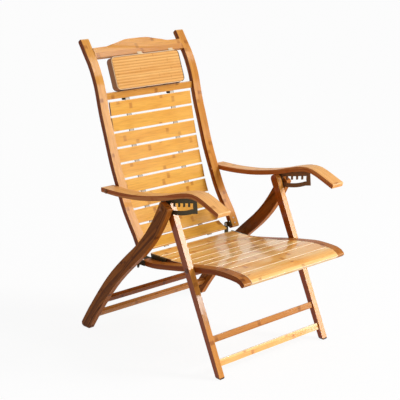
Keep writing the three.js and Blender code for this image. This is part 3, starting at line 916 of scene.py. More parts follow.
def round_heel(made: bmesh.types.BMesh, radius: float, cuts: int = 5) -> None:
    """Rounds the sharp rear corner of a leg's foot, as seen from the side, with short planes around a circle.

    Args:
        made: the leg's mesh, standing on the floor.
        radius: the circle's radius in metres.
        cuts: how many planes are cut.
    """
    heel = max((vertex for vertex in made.verts if vertex.co.z < FOOT_ZONE_MM * MILLIMETRE), key=lambda v: v.co.y)
    rear = max((face.normal for face in heel.link_faces), key=lambda normal: normal.y)
    # The circle touches the floor and the leg's rear face
    centre = Vector((0, heel.co.y - radius * (1 + rear.z) / rear.y, radius))
    first, last = -math.pi / 2, math.atan2(rear.z, rear.y)
    for step in range(1, cuts + 1):
        turn = first + (last - first) * step / (cuts + 1)
        out = Vector((0, math.cos(turn), math.sin(turn)))
        parts = list(made.verts) + list(made.edges) + list(made.faces)
        cut = bmesh.ops.bisect_plane(
            made, geom=parts, plane_co=centre + out * radius, plane_no=out, clear_outer=True
        )
        rims = [part for part in cut["geom_cut"] if isinstance(part, bmesh.types.BMEdge)]
        bmesh.ops.edgeloop_fill(made, edges=rims)
    bmesh.ops.recalc_face_normals(made, faces=made.faces)


def softened(node: bpy.types.Object, name: str, easing: Easing) -> bpy.types.Object:
    """Copies a board of the frame and eases its edges.

    Args:
        node: the frame's board.
        name: the new piece's name.
        easing: how its edges are rounded.

    Returns:
        The new piece.
    """
    made = bmesh.new()
    made.from_mesh(node.data)
    made.transform(node.matrix_world)
    bmesh.ops.remove_doubles(made, verts=made.verts, dist=0.01 * MILLIMETRE)
    bmesh.ops.dissolve_limit(
        made, angle_limit=math.radians(FLAT_DEG), verts=made.verts, edges=made.edges, use_dissolve_boundaries=False
    )
    bmesh.ops.recalc_face_normals(made, faces=made.faces)
    if easing.heel_mm > 0:
        round_heel(made, easing.heel_mm * MILLIMETRE)
    # Eased edges that take the painted highlight
    wear_and_highlight = made.faces.layers.float.new("wear_and_highlight")
    sole = made.faces.layers.float.new("sole")
    for width, part in ((easing.foot_mm, "foot"), (easing.end_mm, "end"), (easing.long_mm, "long")):
        if width <= 0:
            continue
        chosen = []
        for edge in made.edges:
            if len(edge.link_faces) != 2 or edge.calc_face_angle(0.0) < math.radians(SHARP_DEG):
                continue
            across = abs((edge.verts[0].co - edge.verts[1].co).normalized().x) > ACROSS_SHARE
            low = easing.foot_mm > 0 and max(vertex.co.z for vertex in edge.verts) < FOOT_ZONE_MM * MILLIMETRE
            kind = "foot" if low else "end" if across else "long"
            if kind == part:
                chosen.append(edge)
        if not chosen:
            continue
        rounded = bmesh.ops.bevel(
            made,
            geom=chosen,
            offset=width * MILLIMETRE,
            offset_type="OFFSET",
            segments=FOOT_STEPS if part == "foot" else EDGE_STEPS,
            profile=0.5,
            affect="EDGES",
            clamp_overlap=True,
        )
        # Rounded foot rims are marked for the darker tone, and the other eased edges for the painted highlight
        for face in rounded["faces"]:
            face[sole if part == "foot" else wear_and_highlight] = 1.0
    piece = smooth_piece(name, made, BOARD_SMOOTH_DEG)
    # Flat faces keep one shade up to their rims, and only the rounding turns
    even = piece.modifiers.new("even_shading", "WEIGHTED_NORMAL")
    even.keep_sharp = True
    even.weight = 100
    return piece


def finish_piece(piece: bpy.types.Object, body: Body, material: bpy.types.Material) -> None:
    """Gives a piece its body and material.

    Args:
        piece: the finished piece.
        body: the body it rides on.
        material: its material.
    """
    piece.data.materials.clear()
    piece.data.materials.append(material)
    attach(piece, body.value)
    LOG.info("%s rides on %s", piece.name, body.value)


@dataclass
class Boards:
    """The wooden boards of the chair, each with eased edges and its own fibres."""

    nodes: dict[str, bpy.types.Object]
    finishes: Finishes
    front_leg: Easing = Easing(2.2, 6.0, 8.0)
    rear_leg: Easing = Easing(2.2, 6.0, 6.0, 13.0)
    rail: Easing = Easing(2.2, 6.0)
    arm: Easing = Easing(3.5, 3.5)
    slat: Easing = Easing(1.4, 1.4)
    made: int = 0

    def dress(
        self, node: str, body: Body, material: bpy.types.Material, run: Run, easing: Easing
    ) -> None:
        """Replaces one board of the frame.

        Args:
            node: the board's name in the frame.
            body: the body it rides on.
            material: its material.
            run: the way its fibres run.
            easing: how its edges are rounded.
        """
        self.made += 1
        piece = softened(self.nodes[node], f"{node}_board", easing)
        write_grain(piece.data, run, self.made)
        finish_piece(piece, body, material)
        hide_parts(node)

    def build(self) -> None:
        """Makes every board."""
        looks = self.finishes
        for side in SIDES:
            for part, body, slot, finish, easing in (
                ("front_leg", Body.FRONT, "honey_bamboo", looks.leg, self.front_leg),
                ("rear_leg", Body.REAR, "amber_bamboo", looks.rear, self.rear_leg),
                ("seat_rail", Body.SEAT, "honey_bamboo", looks.rail, self.rail),
                ("seat_cleat", Body.SEAT, "amber_bamboo", looks.amber, self.slat),
                ("back_stile", Body.BACK, "honey_bamboo", looks.frame, self.rail),
                ("arm", Body.ARMS, "honey_bamboo", looks.arm, self.arm),
            ):
                self.dress(f"{part}_{side}", body, finish, Run.BENT, easing)
        across = [
            ("front_stretcher_upper", Body.FRONT, "honey_bamboo", looks.tan),
            ("front_stretcher_lower", Body.FRONT, "honey_bamboo", looks.seat),
            ("rear_stretcher_upper", Body.REAR, "amber_bamboo", looks.amber),
            ("rear_stretcher_lower", Body.REAR, "amber_bamboo", looks.tan),
            ("upper_crossbar", Body.BACK, "honey_bamboo", looks.frame),
            ("top_rail", Body.BACK, "honey_bamboo", looks.frame),
            ("seat_front_rail", Body.SEAT, "honey_bamboo", looks.seat),
        ]
        across += [(f"seat_slat_{i:02d}", Body.SEAT, "slat_bamboo", looks.seat) for i in range(1, 9)]
        across += [(f"back_slat_{i:02d}", Body.BACK, "slat_bamboo", looks.slat) for i in range(1, 11)]
        for node, body, slot, finish in across:
            self.dress(node, body, finish, Run.ACROSS, self.slat)


@dataclass
class Headrest:
    """The headrest: a firm block under split bamboo strips, with a cloth cover, edging, rear piping and ties."""

    nodes: dict[str, bpy.types.Object]
    finishes: Finishes
    strip_count: int = 11
    strip_gap_mm: float = 0.6
    strip_rise_mm: float = 1.7
    strip_steps: int = 6
    # Below 1 the strip's section is fuller than a half sine
    strip_fullness: float = 0.45
    core_inset_mm: float = 3.0
    # The core's rims: distances back from its front or ahead of its rear, each with how far the sides tuck in there
    front_rim_mm: tuple[tuple[float, float], ...] = ((0.0, 1.6), (1.0, 0.5), (3.0, 0.0))
    rear_rim_mm: tuple[tuple[float, float], ...] = ((4.0, 0.0), (1.0, 0.8), (0.0, 2.4))
    corner_mm: float = 17.0
    corner_points: int = 7
    binding_radius_mm: float = 2.2
    binding_sides: int = 8
    binding_flatness: float = 0.6
    # In binding radii: how far in and back the edging lies, and how far in and ahead of the rear the piping lies
    edging_inset: float = 0.15
    edging_depth: float = 0.9
    piping_inset: float = 0.5
    piping_depth: float = 2.0
    rim_mm: float = 2.6
    tie_thick_mm: float = 1.6
    # A tie's section, in shares of its half width and half thickness
    tie_section: tuple[tuple[float, float], ...] = (
        (-1, 0), (-0.94, -0.8), (-0.8, -1), (0.8, -1), (0.94, -0.8),
        (1, 0), (0.94, 0.8), (0.8, 1), (-0.8, 1), (-0.94, 0.8),
    )
    # The ties' places across the chair, and their points as (back, up) from the block's edge and from the bar
    top_ties_mm: tuple[float, ...] = (-10.0, 146.0)
    top_tie_width_mm: float = 22.0
    top_tie_block_mm: tuple[tuple[float, float], ...] = ((12.0, -3.0), (13.0, 1.2))
    top_tie_rail_mm: tuple[tuple[float, float], ...] = ((-1.2, -2.0), (-0.4, 3.0))
    top_tie_rise_mm: float = 12.0
    low_ties_mm: tuple[float, ...] = (-140.0, -23.0, 72.0, 140.0)
    low_tie_width_mm: float = 13.0
    low_tie_block_mm: tuple[tuple[float, float], ...] = ((4.0, 3.0), (6.0, -1.2))
    low_tie_bar_mm: tuple[tuple[float, float], ...] = ((3.0, 1.0), (6.0, -1.0))
    # The shading of each piece breaks at edges that turn by more than this
    core_smooth_deg: float = 40.0
    strip_smooth_deg: float = 50.0
    binding_smooth_deg: float = 60.0
    tie_smooth_deg: float = 50.0
    # Numbers that shift the pattern of each piece
    core_seed: int = 3
    strip_seed: int = 5
    binding_seed: int = 7
    tie_seed: int = 9
    # The block's own directions, half width, lower and upper edge, front and rear, as found in the frame
    out: Vector = field(init=False)
    up: Vector = field(init=False)
    half: float = field(init=False)
    low: float = field(init=False)
    high: float = field(init=False)
    face: float = field(init=False)
    rear: float = field(init=False)

    def __post_init__(self) -> None:
        """Finds the block's own directions and size in the frame."""
        mesh = self.nodes["headrest"].data
        front = min(mesh.polygons, key=lambda face: face.normal.y - face.area * 10)
        self.out = front.normal.copy()
        self.up = Vector((1, 0, 0)).cross(self.out)
        if self.up.z < 0:
            self.up.negate()
        points = [vertex.co for vertex in mesh.vertices]
        self.half = max(point.x for point in points)
        self.low = min(point.dot(self.up) for point in points)
        self.high = max(point.dot(self.up) for point in points)
        self.face = max(point.dot(self.out) for point in points)
        self.rear = min(point.dot(self.out) for point in points)

    def place(self, across: float, rise: float, depth: float) -> Vector:
        """Gives a point of the block.

        Args:
            across: the distance from the middle.
            rise: the distance up from its lower edge.
            depth: the distance back from its front.

        Returns:
            The point in the chair's frame.
        """
        return Vector((across, 0, 0)) + self.up * (self.low + rise) + self.out * (self.face - depth)

    def reach(self, rise: float, height: float) -> float:
        """Gives the half width at a height, inside the rounded corners.

        Args:
            rise: the distance up from the lower edge.
            height: the block's height.

        Returns:
            The half width in metres.
        """
        corner = self.corner_mm * MILLIMETRE
        near = min(rise, height - rise)
        if near >= corner:
            return self.half
        return self.half - corner + math.sqrt(max(corner**2 - (corner - near) ** 2, 0.0))

    def outline(self, inset: float) -> list[tuple[float, float]]:
        """Draws the block's rounded outline.

        Args:
            inset: the distance in from its edges.

        Returns:
            Points as (across, rise), once around.
        """
        corner = self.corner_mm * MILLIMETRE - inset
        high = self.high - self.low - inset
        points = []
        for centre_x, centre_z, start in (
            (self.half - inset - corner, high - corner, 0),
            (-self.half + inset + corner, high - corner, 90),
            (-self.half + inset + corner, inset + corner, 180),
            (self.half - inset - corner, inset + corner, 270),
        ):
            for step in range(self.corner_points):
                turn = math.radians(start + 90 * step / (self.corner_points - 1))
                points.append((centre_x + corner * math.cos(turn), centre_z + corner * math.sin(turn)))
        return points

    def core(self) -> bpy.types.Object:
        """Makes the block under the strips, with softly rounded rims.

        Returns:
            The piece.
        """
        depth = self.face - self.rear
        inset = self.core_inset_mm * MILLIMETRE
        rims = [(inset + back * MILLIMETRE, tuck) for back, tuck in self.front_rim_mm]
        rims += [(depth - ahead * MILLIMETRE, tuck) for ahead, tuck in self.rear_rim_mm]
        made = bmesh.new()
        rings = []
        for back, tuck in rims:
            rings.append([made.verts.new(self.place(x, z, back)) for x, z in self.outline(tuck * MILLIMETRE)])
        skin(made, rings[::-1])
        piece = smooth_piece("headrest_core", made, self.core_smooth_deg)
        write_grain(piece.data, Run.ACROSS, self.core_seed)
        return piece

    def strips(self) -> bpy.types.Object:
        """Makes the bamboo strips, each a low rounded rod that ends inside the binding.

        Returns:
            The piece.
        """
        height = self.high - self.low
        margin = self.rim_mm * MILLIMETRE
        pitch = (height - 2 * margin) / self.strip_count
        gap = self.strip_gap_mm * MILLIMETRE
        rise = self.strip_rise_mm * MILLIMETRE
        made = bmesh.new()
        for index in range(self.strip_count):
            low = margin + index * pitch + gap / 2
            high = low + pitch - gap
            profile = []
            for step in range(self.strip_steps + 1):
                share = step / self.strip_steps
                hollow = 1 - math.sin(math.pi * share) ** self.strip_fullness
                profile.append((low + (high - low) * share, rise * hollow))
            ends = []
            for side in (-1, 1):
                ring = []
                for z, back in profile:
                    half = self.reach(z, height) - margin
                    ring.append(made.verts.new(self.place(side * half, z, back)))
                base_half = self.reach((low + high) / 2, height) - margin
                ring.append(made.verts.new(self.place(side * base_half, high, rise + MILLIMETRE)))
                ring.append(made.verts.new(self.place(side * base_half, low, rise + MILLIMETRE)))
                ends.append(ring)
            skin(made, ends)
        piece = smooth_piece("headrest_strips", made, self.strip_smooth_deg)
        write_grain(piece.data, Run.ACROSS, self.strip_seed)
        # The strips' ends lie under the edging, so no face takes the stain and painted shade of the cut layers
        edge = piece.data.attributes["edge"]
        edge.data.foreach_set("value", np.zeros(len(piece.data.polygons), dtype=np.float32))
        return piece

    def binding(self, name: str, run: Sequence[tuple[float, float]], depth: float) -> bpy.types.Object:
        """Makes one run of the edging along a rim as a tube with closed ends.

        Args:
            name: the piece's name.
            run: its points as (across, rise).
            depth: the distance of its middle back from the block's front.

        Returns:
            The piece.
        """
        radius = self.binding_radius_mm * MILLIMETRE
        path = [self.place(x, z, depth) for x, z in run]
        middle = self.place(0, (self.high - self.low) / 2, depth)
        made = bmesh.new()
        rings = []
        for i, point in enumerate(path):
            way = (path[min(i + 1, len(path) - 1)] - path[max(i - 1, 0)]).normalized()
            outward = way.cross(self.out).normalized()
            if outward.dot(point - middle) < 0:
                outward.negate()
            ring = []
            for k in range(self.binding_sides):
                turn = 2 * math.pi * k / self.binding_sides
                aside = outward * math.cos(turn) * self.binding_flatness + self.out * math.sin(turn)
                ring.append(made.verts.new(point + aside * radius))
            rings.append(ring)
        skin(made, rings)
        piece = smooth_piece(name, made, self.binding_smooth_deg)
        write_grain(piece.data, Run.ACROSS, self.binding_seed)
        return piece

    def tie(
        self, made: bmesh.types.BMesh, across: float, width_mm: float, path: Sequence[tuple[float, float]]
    ) -> None:
        """Adds one flat loop that ties the block to a bar.

        Args:
            made: the mesh that takes it.
            across: its middle, across the chair.
            width_mm: its width.
            path: its points as (y, z).
        """
        half = width_mm * MILLIMETRE / 2
        thick = self.tie_thick_mm * MILLIMETRE / 2
        rings = []
        for i, (y, z) in enumerate(path):
            before, after = path[max(i - 1, 0)], path[min(i + 1, len(path) - 1)]
            way = Vector((0, after[0] - before[0], after[1] - before[1])).normalized()
            aside = Vector((1, 0, 0)).cross(way)
            ring = []
            for side, rise in self.tie_section:
                point = Vector((across + half * side, y, z)) + aside * thick * rise
                ring.append(made.verts.new(point))
            rings.append(ring)
        skin(made, rings)

    def ties(
        self, name: str, places_mm: Sequence[float], width_mm: float, path: Sequence[tuple[float, float]]
    ) -> bpy.types.Object:
        """Makes a row of loops.

        Args:
            name: the piece's name.
            places_mm: their places across the chair.
            width_mm: the width of each.
            path: the points of each as (y, z).

        Returns:
            The piece.
        """
        made = bmesh.new()
        for place in places_mm:
            self.tie(made, place * MILLIMETRE, width_mm, path)
        piece = smooth_piece(name, made, self.tie_smooth_deg)
        write_grain(piece.data, Run.ACROSS, self.tie_seed)
        return piece

    def tie_path(
        self,
        edge: float,
        block_mm: Sequence[tuple[float, float]],
        bar: tuple[float, float],
        bar_mm: Sequence[tuple[float, float]],
    ) -> list[tuple[float, float]]:
        """Draws a tie in the side view, from the block to the bar that holds it.

        Args:
            edge: the block's edge, as a distance up from its lower edge.
            block_mm: the points at the block, as (back from its front, up from the edge).
            bar: a place on the bar, as (y, z).
            bar_mm: the points at the bar, as (back, up) from that place.

        Returns:
            The tie's points as (y, z).
        """
        held = [self.place(0, edge + rise * MILLIMETRE, back * MILLIMETRE) for back, rise in block_mm]
        tied = [(bar[0] + back * MILLIMETRE, bar[1] + rise * MILLIMETRE) for back, rise in bar_mm]
        return [(point.y, point.z) for point in held] + tied

    def tie_down(self) -> None:
        """Ties the block to the top rail above it and to the crossbar below it."""
        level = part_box("top_rail")[0][2] + self.top_tie_rise_mm * MILLIMETRE
        rail = front_of(self.nodes["top_rail"], 0.0, level)[0]
        path = self.tie_path(self.high - self.low, self.top_tie_block_mm, (rail.y, rail.z), self.top_tie_rail_mm)
        loops = self.ties("headrest_top_ties", self.top_ties_mm, self.top_tie_width_mm, path)
        finish_piece(loops, Body.BACK, self.finishes.tie)
        low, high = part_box("upper_crossbar")
        path = self.tie_path(0.0, self.low_tie_block_mm, (low[1], high[2]), self.low_tie_bar_mm)
        clips = self.ties("headrest_low_ties", self.low_ties_mm, self.low_tie_width_mm, path)
        finish_piece(clips, Body.BACK, self.finishes.binding)

    def build(self) -> None:
        """Makes the headrest's pieces."""
        core = self.core()
        finish_piece(core, Body.BACK, self.finishes.cover)
        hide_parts("headrest")
        finish_piece(self.strips(), Body.BACK, self.finishes.strip)
        radius = self.binding_radius_mm * MILLIMETRE
        rim = self.outline(self.edging_inset * radius)
        depth = self.edging_depth * radius
        # The outline starts with the upper left corner and ends with the lower left one
        lower_left, upper_left = 3 * self.corner_points, self.corner_points - 1
        # The edging on the chair's left side is painted in shade with the dark tape, and the rest is pale cane
        shaded = self.binding("headrest_edging_left_painted_shade", rim[lower_left:] + rim[: upper_left + 1], depth)
        finish_piece(shaded, Body.BACK, self.finishes.binding)
        lit = self.binding("headrest_edging_right", rim[upper_left : lower_left + 1], depth)
        finish_piece(lit, Body.BACK, self.finishes.edging)
        seam = self.outline(self.piping_inset * radius)
        depth = self.face - self.rear - self.piping_depth * radius
        piping = self.binding("headrest_rear_piping", seam + seam[:1], depth)
        finish_piece(piping, Body.BACK, self.finishes.binding)
        self.tie_down()


@dataclass
class Straps:
    """The two straps behind the back slats, each a woven band with rolled edges."""

    nodes: dict[str, bpy.types.Object]
    finishes: Finishes
    edges: Easing = Easing(0.6, 0.6)
    seed: int = 2
    plug_edges: Easing = Easing(1.2, 1.2)
    # The plugs fill the gap down to the first slat
    plug_stretch: float = 1.15

    def build(self) -> None:
        """Makes both straps and their plugs."""
        for side in SIDES:
            strap = softened(self.nodes[f"back_strap_{side}"], f"webbing_strap_{side}", self.edges)
            write_grain(strap.data, Run.BENT, self.seed)
            finish_piece(strap, Body.BACK, self.finishes.webbing)
            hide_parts(f"back_strap_{side}")
            plug = softened(self.nodes[f"strap_plug_{side}"], f"moulded_plug_{side}", self.plug_edges)
            top = max(vertex.co.z for vertex in plug.data.vertices)
            for vertex in plug.data.vertices:
                vertex.co.z = top - (top - vertex.co.z) * self.plug_stretch
            finish_piece(plug, Body.BACK, self.finishes.plug)
            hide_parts(f"strap_plug_{side}")


def surface(node: bpy.types.Object) -> BVHTree:
    """Makes a part of the frame ready for finding points on it.

    Args:
        node: the part.

    Returns:
        Its surface.
    """
    corners = [vertex.co for vertex in node.data.vertices]
    return BVHTree.FromPolygons(corners, [list(face.vertices) for face in node.data.polygons])


def front_of(node: bpy.types.Object, x: float, z: float) -> tuple[Vector, Vector]:
    """Finds a point on the front of a part.

    Args:
        node: the part.
        x: the place across the chair.
        z: the height.

    Returns:
        The point and the surface's direction there.
    """
    return surface(node).ray_cast(Vector((x, -1, z)), Vector((0, 1, 0)))[:2]


@dataclass(frozen=True)
class Ring:
    """One ring of a turned part: its place along the axis, its radius, and whether it is a hexagon."""

    along_mm: float
    radius_mm: float
    hexagon: bool = False

    def points(self, sides: int) -> list[tuple[float, float]]:
        """Gives the ring's points around the axis.

        Args:
            sides: how many points it has.

        Returns:
            The points in millimetres.
        """
        points = []
        for i in range(sides):
            turn = 2 * math.pi * i / sides
            radius = self.radius_mm
            if self.hexagon:
                radius /= math.cos((turn + math.pi / 6) % (math.pi / 3) - math.pi / 6)
            points.append((radius * math.cos(turn), radius * math.sin(turn)))
        return points


def turn_part(made: bmesh.types.BMesh, rings: Sequence[Ring], base: Vector, way: Vector, sides: int = 36) -> None:
    """Adds a turned part to a mesh.

    Args:
        made: the mesh that takes it.
        rings: its rings from the base out.
        base: where its axis starts.
        way: the axis's direction.
        sides: how many points each ring has.
    """
    first = way.orthogonal().normalized()
    second = way.cross(first).normalized()
    loops = []
    for ring in rings:
        loops.append(
            [
                made.verts.new(base + (way * ring.along_mm + first * a + second * b) * MILLIMETRE)
                for a, b in ring.points(sides)
            ]
        )
    skin(made, loops)


@dataclass
class Hardware:
    """The steel parts: pins, bolts, rivets and screws turned in detail, and the flat parts in their coatings."""

    nodes: dict[str, bpy.types.Object]
    finishes: Finishes
    # Heights of the washer with its dome nut, of the arm bolt's head and of the pivot bolt's head
    nut_height_mm: float = 6.0
    arm_head_mm: float = 3.7
    pivot_head_mm: float = 3.2
    dome_steps: int = 6
    screw_sides: int = 24
    stile_screw_radius_mm: float = 3.4
    leaf_screw_radius_mm: float = 2.6
    stile_screw_levels_mm: tuple[float, ...] = (379.0, 398.0)
    stile_middle_mm: float = 232.5
    # The seat's leaf sweeps over the lower part of the back's leaf, so its screw sits above that
    back_leaf_screws_mm: tuple[tuple[float, float], ...] = ((122.5, 386.0),)
    seat_leaf_screws_mm: tuple[tuple[float, float], ...] = ((22.0, 345.0), (76.0, 344.0))
    # A place inside the chair that has a clear view of both leaves
    leaf_view_mm: float = 150.0

    def build(self) -> None:
        """Makes and dresses the steel parts."""
        looks = self.finishes
        for side, sign in SIDES.items():
            for part in ("notch_plate", "back_hinge_leaf", "seat_hinge_leaf", "rest_hook"):
                # The left plate takes the copy of the coating with painted light
                lit_plate = part == "notch_plate" and side == "left"
                self.coat(f"{part}_{side}", looks.lit_plate_steel if lit_plate else looks.black_steel)
            self.coat(f"rest_stub_{side}", looks.bright_steel)
            for part, body, profile, material in (
                ("top_pin", Body.FRONT, self.dome_nut, looks.bronzed_steel),
                ("arm_bolt", Body.BACK, self.arm_bolt, looks.bronzed_steel),
                ("seat_pivot_bolt", Body.FRONT, self.pivot_bolt, looks.brown_head),
                ("hinge_rivet", Body.SEAT, self.rivet, looks.bright_steel),
            ):
                self.turn_node(f"{part}_{side}", sign, body, profile, material)
            self.stile_screws(side, sign)
            self.leaf_screws(side, sign)

    def coat(self, node: str, material: bpy.types.Material) -> None:
        """Gives a part of the frame its material.

        Args:
            node: the part's name.
            material: its material.
        """
        part = self.nodes[node]
        for slot in part.material_slots:
            slot.material = material
        LOG.info("%s keeps its shape", node)

    @staticmethod
    def turn_node(
        node: str, sign: int, body: Body, profile: Callable[[float], list[Ring]], material: bpy.types.Material
    ) -> None:
        """Replaces a pin, bolt or rivet that runs across the chair by a turned one.

        Args:
            node: the part's name.
            sign: 1 on the left and -1 on the right.
            body: the body it rides on.
            profile: gives its rings from the inner end out, for its length in millimetres.
            material: its material.
        """
        low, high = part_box(node)
        inner = min(abs(low[0]), abs(high[0]))
        length = abs(high[0] - low[0]) / MILLIMETRE
        base = Vector((sign * inner, (low[1] + high[1]) / 2, (low[2] + high[2]) / 2))
        made = bmesh.new()
        turn_part(made, profile(length), base, Vector((sign, 0, 0)))
        piece = smooth_piece(f"turned_{node}", made, TURNED_SMOOTH_DEG)
        finish_piece(piece, body, material)
        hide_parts(node)

    def dome_nut(self, length: float) -> list[Ring]:
        """Draws the top pin with its washer and dome nut.

        Args:
            length: its length in millimetres.

        Returns:
            Its rings.
        """
        nut = length - self.nut_height_mm
        rings = [Ring(0, 2.7), Ring(0.3, 3), Ring(nut, 3), Ring(nut, 7.7), Ring(nut + 0.2, 8), Ring(nut + 0.9, 8)]
        rings += [Ring(nut + 1.1, 7.7), Ring(nut + 1.1, 6.2, True), Ring(nut + 3.0, 6.2, True), Ring(nut + 3.1, 5.9)]
        for step in range(1, self.dome_steps + 1):
            turn = math.pi / 2 * step / self.dome_steps
            rings.append(Ring(nut + 3.1 + 2.9 * math.sin(turn), max(5.9 * math.cos(turn), 0.2)))
        return rings

    def arm_bolt(self, length: float) -> list[Ring]:
        """Draws the bolt that holds an arm to its stile, with a hexagon nut inside and a socket head outside.

        Args:
            length: its length in millimetres.

        Returns:
            Its rings.
        """
        head = length - self.arm_head_mm
        rings = [Ring(0, 4.5), Ring(0, 6.3, True), Ring(0.4, 6.9, True), Ring(3, 6.9, True), Ring(3, 4)]
        rings += [Ring(head, 4), Ring(head, 8.6), Ring(head + 0.2, 9), Ring(head + 0.9, 9), Ring(head + 1.1, 8.7)]
        rings += [Ring(head + 1.1, 6.6), Ring(head + 2.4, 6.4), Ring(head + 3.2, 5.6), Ring(head + 3.6, 4.4)]
        rings += [Ring(head + 3.7, 3.2), Ring(head + 3.6, 2.7, True), Ring(head + 1.9, 2.6, True)]
        return rings

    def pivot_bolt(self, length: float) -> list[Ring]:
        """Draws the seat's pivot bolt with its low round head.

        Args:
            length: its length in millimetres.

        Returns:
            Its rings.
        """
        head = length - self.pivot_head_mm
        rings = [Ring(0, 3.6), Ring(0.4, 4), Ring(head, 4), Ring(head, 8.7), Ring(head + 0.3, 9), Ring(head + 1, 8.9)]
        rings += [Ring(head + 2.2, 7.6), Ring(head + 2.9, 5.6), Ring(head + 3.2, 3.4), Ring(head + 3.2, 2.9)]
        rings += [Ring(head + 1.6, 2.6, True)]
        return rings

    @staticmethod
    def rivet(length: float) -> list[Ring]:
        """Draws the hinge rivet, with its set head on the inside.

        Args:
            length: its length in millimetres.

        Returns:
            Its rings.
        """
        rings = [Ring(0, 2.2), Ring(0.15, 4), Ring(0.5, 5.2), Ring(1.0, 6), Ring(1.3, 6), Ring(1.3, 3.5)]
        return rings + [Ring(length, 3.5)]

    def screw(self, made: bmesh.types.BMesh, place: Vector, way: Vector, radius: float) -> None:
        """Adds one round screw head with a socket.

        Args:
            made: the mesh that takes it.
            place: where it sits on the surface.
            way: the surface's direction.
            radius: its radius in millimetres.
        """
        rings = [Ring(-1.0, radius), Ring(0.2, radius), Ring(0.8, 0.88 * radius), Ring(1.3, 0.66 * radius)]
        rings += [Ring(1.5, 0.45 * radius), Ring(1.4, 0.36 * radius, True), Ring(0.5, 0.34 * radius, True)]
        turn_part(made, rings, place, way.normalized(), self.screw_sides)

    def stile_screws(self, side: str, sign: int) -> None:
        """Sets the two screws in the foot of a stile.

        Args:
            side: left or right.
            sign: 1 on the left and -1 on the right.
        """
        made = bmesh.new()
        for level in self.stile_screw_levels_mm:
            place, way = front_of(
                self.nodes[f"back_stile_{side}"], sign * self.stile_middle_mm * MILLIMETRE, level * MILLIMETRE
            )
            self.screw(made, place, way, self.stile_screw_radius_mm)
        piece = smooth_piece(f"stile_screws_{side}", made, TURNED_SMOOTH_DEG)
        finish_piece(piece, Body.BACK, self.finishes.bright_steel)

    def leaf_screws(self, side: str, sign: int) -> None:
        """Sets the screws of both hinge leaves.

        Args:
            side: left or right.
            sign: 1 on the left and -1 on the right.
        """
        for leaf, places, body in (
            ("back_hinge_leaf", self.back_leaf_screws_mm, Body.BACK),
            ("seat_hinge_leaf", self.seat_leaf_screws_mm, Body.SEAT),
        ):
            made = bmesh.new()
            shape = surface(self.nodes[f"{leaf}_{side}"])
            for y, z in places:
                start = Vector((sign * self.leaf_view_mm, y, z)) * MILLIMETRE
                place = shape.ray_cast(start, Vector((sign, 0, 0)))[0]
                self.screw(made, place, Vector((-sign, 0, 0)), self.leaf_screw_radius_mm)
            piece = smooth_piece(f"{leaf}_screws_{side}", made, TURNED_SMOOTH_DEG)
            finish_piece(piece, body, self.finishes.bright_steel)


@dataclass(frozen=True)
class Window:
    """One window of the studio as a flat lamp, with its place and size in metres and its power in watts."""

    name: str
    place: tuple[float, float, float]
    wide: float
    high: float
    watts: float


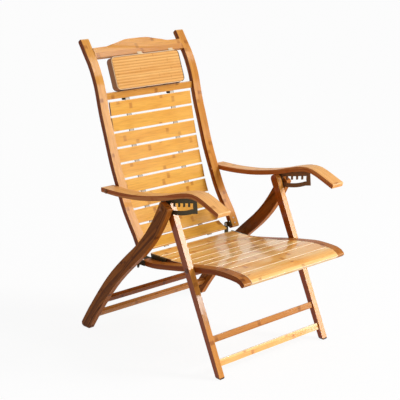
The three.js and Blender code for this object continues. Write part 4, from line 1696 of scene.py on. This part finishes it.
@dataclass
class Studio:
    """The camera, lamps, world and floor of the product photograph."""

    # The camera's place in metres, its turn and its lens, as fitted to the photograph
    place: tuple[float, float, float] = (-2.51918, -2.85573, 1.50435)
    azimuth_deg: float = -40.886
    down_deg: float = 14.27
    roll_deg: float = -1.476
    lens_mm: float = 94.49
    sensor_mm: float = 36.0
    world_strength: float = 0.4
    sun_from: tuple[float, float, float] = (0.55, -0.6, 0.62)
    sun_strength: float = 1.5
    sun_angle_deg: float = 18.0
    windows: tuple[Window, ...] = (
        Window("window_lamp_high", (2.502, -3.405, 1.971), 0.7, 1.3, 58.0),
        Window("window_lamp_low", (3.242, -3.16, 1.284), 0.5, 1.2, 21.0),
    )
    window_aim: tuple[float, float, float] = (0.0, 0.0, 0.4)
    floor_size: float = 80.0
    shadow_share: float = 0.09

    def camera(self) -> None:
        """Sets up the camera at the photograph's view."""
        a, e, r = (math.radians(v) for v in (self.azimuth_deg, self.down_deg, self.roll_deg))
        ahead = Vector((-math.sin(a) * math.cos(e), math.cos(a) * math.cos(e), -math.sin(e)))
        right = Vector((math.cos(a), math.sin(a), 0))
        up = right.cross(ahead)
        turned_right = right * math.cos(r) + up * math.sin(r)
        turned_up = up * math.cos(r) - right * math.sin(r)
        data = bpy.data.cameras.new("photo_camera")
        data.lens = self.lens_mm
        data.sensor_width = self.sensor_mm
        camera = bpy.data.objects.new("photo_camera", data)
        rows = Matrix((turned_right, turned_up, -ahead)).transposed().to_4x4()
        camera.matrix_world = Matrix.Translation(self.place) @ rows
        bpy.context.scene.collection.objects.link(camera)
        bpy.context.scene.camera = camera

    def light_window(self, window: Window) -> None:
        """Adds a window in front, whose reflection pales the fronts of the legs.

        Args:
            window: its name, place, size and power.
        """
        data = bpy.data.lights.new(window.name, "AREA")
        data.shape = "RECTANGLE"
        data.size = window.wide
        data.size_y = window.high
        data.energy = window.watts
        lamp = bpy.data.objects.new(window.name, data)
        lamp.location = window.place
        way = Vector(self.window_aim) - Vector(window.place)
        lamp.rotation_euler = way.to_track_quat("-Z", "Y").to_euler()
        bpy.context.scene.collection.objects.link(lamp)

    def sun(self) -> None:
        """Adds the broad key light from in front, on the right of the picture."""
        data = bpy.data.lights.new("key_sun", "SUN")
        data.energy = self.sun_strength
        data.angle = math.radians(self.sun_angle_deg)
        lamp = bpy.data.objects.new("key_sun", data)
        lamp.rotation_euler = (-Vector(self.sun_from)).to_track_quat("-Z", "Y").to_euler()
        bpy.context.scene.collection.objects.link(lamp)

    @staticmethod
    def seen_rays(tree: bpy.types.NodeTree) -> bpy.types.NodeSocket:
        """Tells the rays from the camera, also over a shiny surface, from those that only carry light.

        Args:
            tree: the world's or a material's tree.

        Returns:
            The socket with 1 for a seen ray.
        """
        path = add_node(tree, "ShaderNodeLightPath", {}, {})
        seen = add_node(
            tree,
            "ShaderNodeMath",
            {"operation": "MAXIMUM"},
            {0: path.outputs["Is Camera Ray"], 1: path.outputs["Is Glossy Ray"]},
        )
        return seen.outputs[0]

    def world(self) -> None:
        """Makes a white surround that lights the chair softly and looks fully white itself."""
        world = bpy.data.worlds.new("studio")
        bpy.context.scene.world = world
        world.use_nodes = True
        tree = world.node_tree
        tree.nodes.clear()
        strength = add_node(
            tree,
            "ShaderNodeMapRange",
            {},
            {"Value": self.seen_rays(tree), "To Min": self.world_strength, "To Max": 1.0},
        )
        shade = add_node(
            tree, "ShaderNodeBackground", {}, {"Color": linear("#FFFFFF"), "Strength": strength.outputs[0]}
        )
        output = tree.nodes.new("ShaderNodeOutputWorld")
        tree.links.new(shade.outputs[0], output.inputs[0])

    def floor(self) -> None:
        """Lays a matt white floor that keeps a faint shadow."""
        made = bmesh.new()
        bmesh.ops.create_grid(made, x_segments=4, y_segments=4, size=self.floor_size / 2)
        mesh = bpy.data.meshes.new("studio_floor")
        made.to_mesh(mesh)
        made.free()
        floor = mesh_object("studio_floor", mesh)
        material, tree, output = new_material("matt_floor_paint")
        share = add_node(
            tree, "ShaderNodeMath", {"operation": "MULTIPLY"}, {0: self.seen_rays(tree), 1: 1 - self.shadow_share}
        )
        matt = add_node(tree, "ShaderNodeBsdfDiffuse", {}, {"Color": linear("#FFFFFF")})
        glow = add_node(tree, "ShaderNodeEmission", {}, {"Color": linear("#FFFFFF"), "Strength": 1.0})
        mix = add_node(
            tree, "ShaderNodeMixShader", {}, {0: share.outputs[0], 1: matt.outputs[0], 2: glow.outputs[0]}
        )
        tree.links.new(mix.outputs[0], output.inputs[0])
        mesh.materials.append(material)

    def build(self) -> None:
        """Sets up the whole studio."""
        self.camera()
        self.world()
        self.floor()
        self.sun()
        for window in self.windows:
            self.light_window(window)
        bpy.context.scene.view_settings.view_transform = "Standard"


def main() -> None:
    """Builds the chair's looks in order."""
    logging.basicConfig(level=logging.INFO, format="%(name)s: %(message)s")
    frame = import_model()
    nodes = frame["nodes"]
    Studio().build()
    finishes = Finishes()
    Boards(nodes, finishes).build()
    Headrest(nodes, finishes).build()
    Straps(nodes, finishes).build()
    Hardware(nodes, finishes).build()


if __name__ == "__main__":
    main()
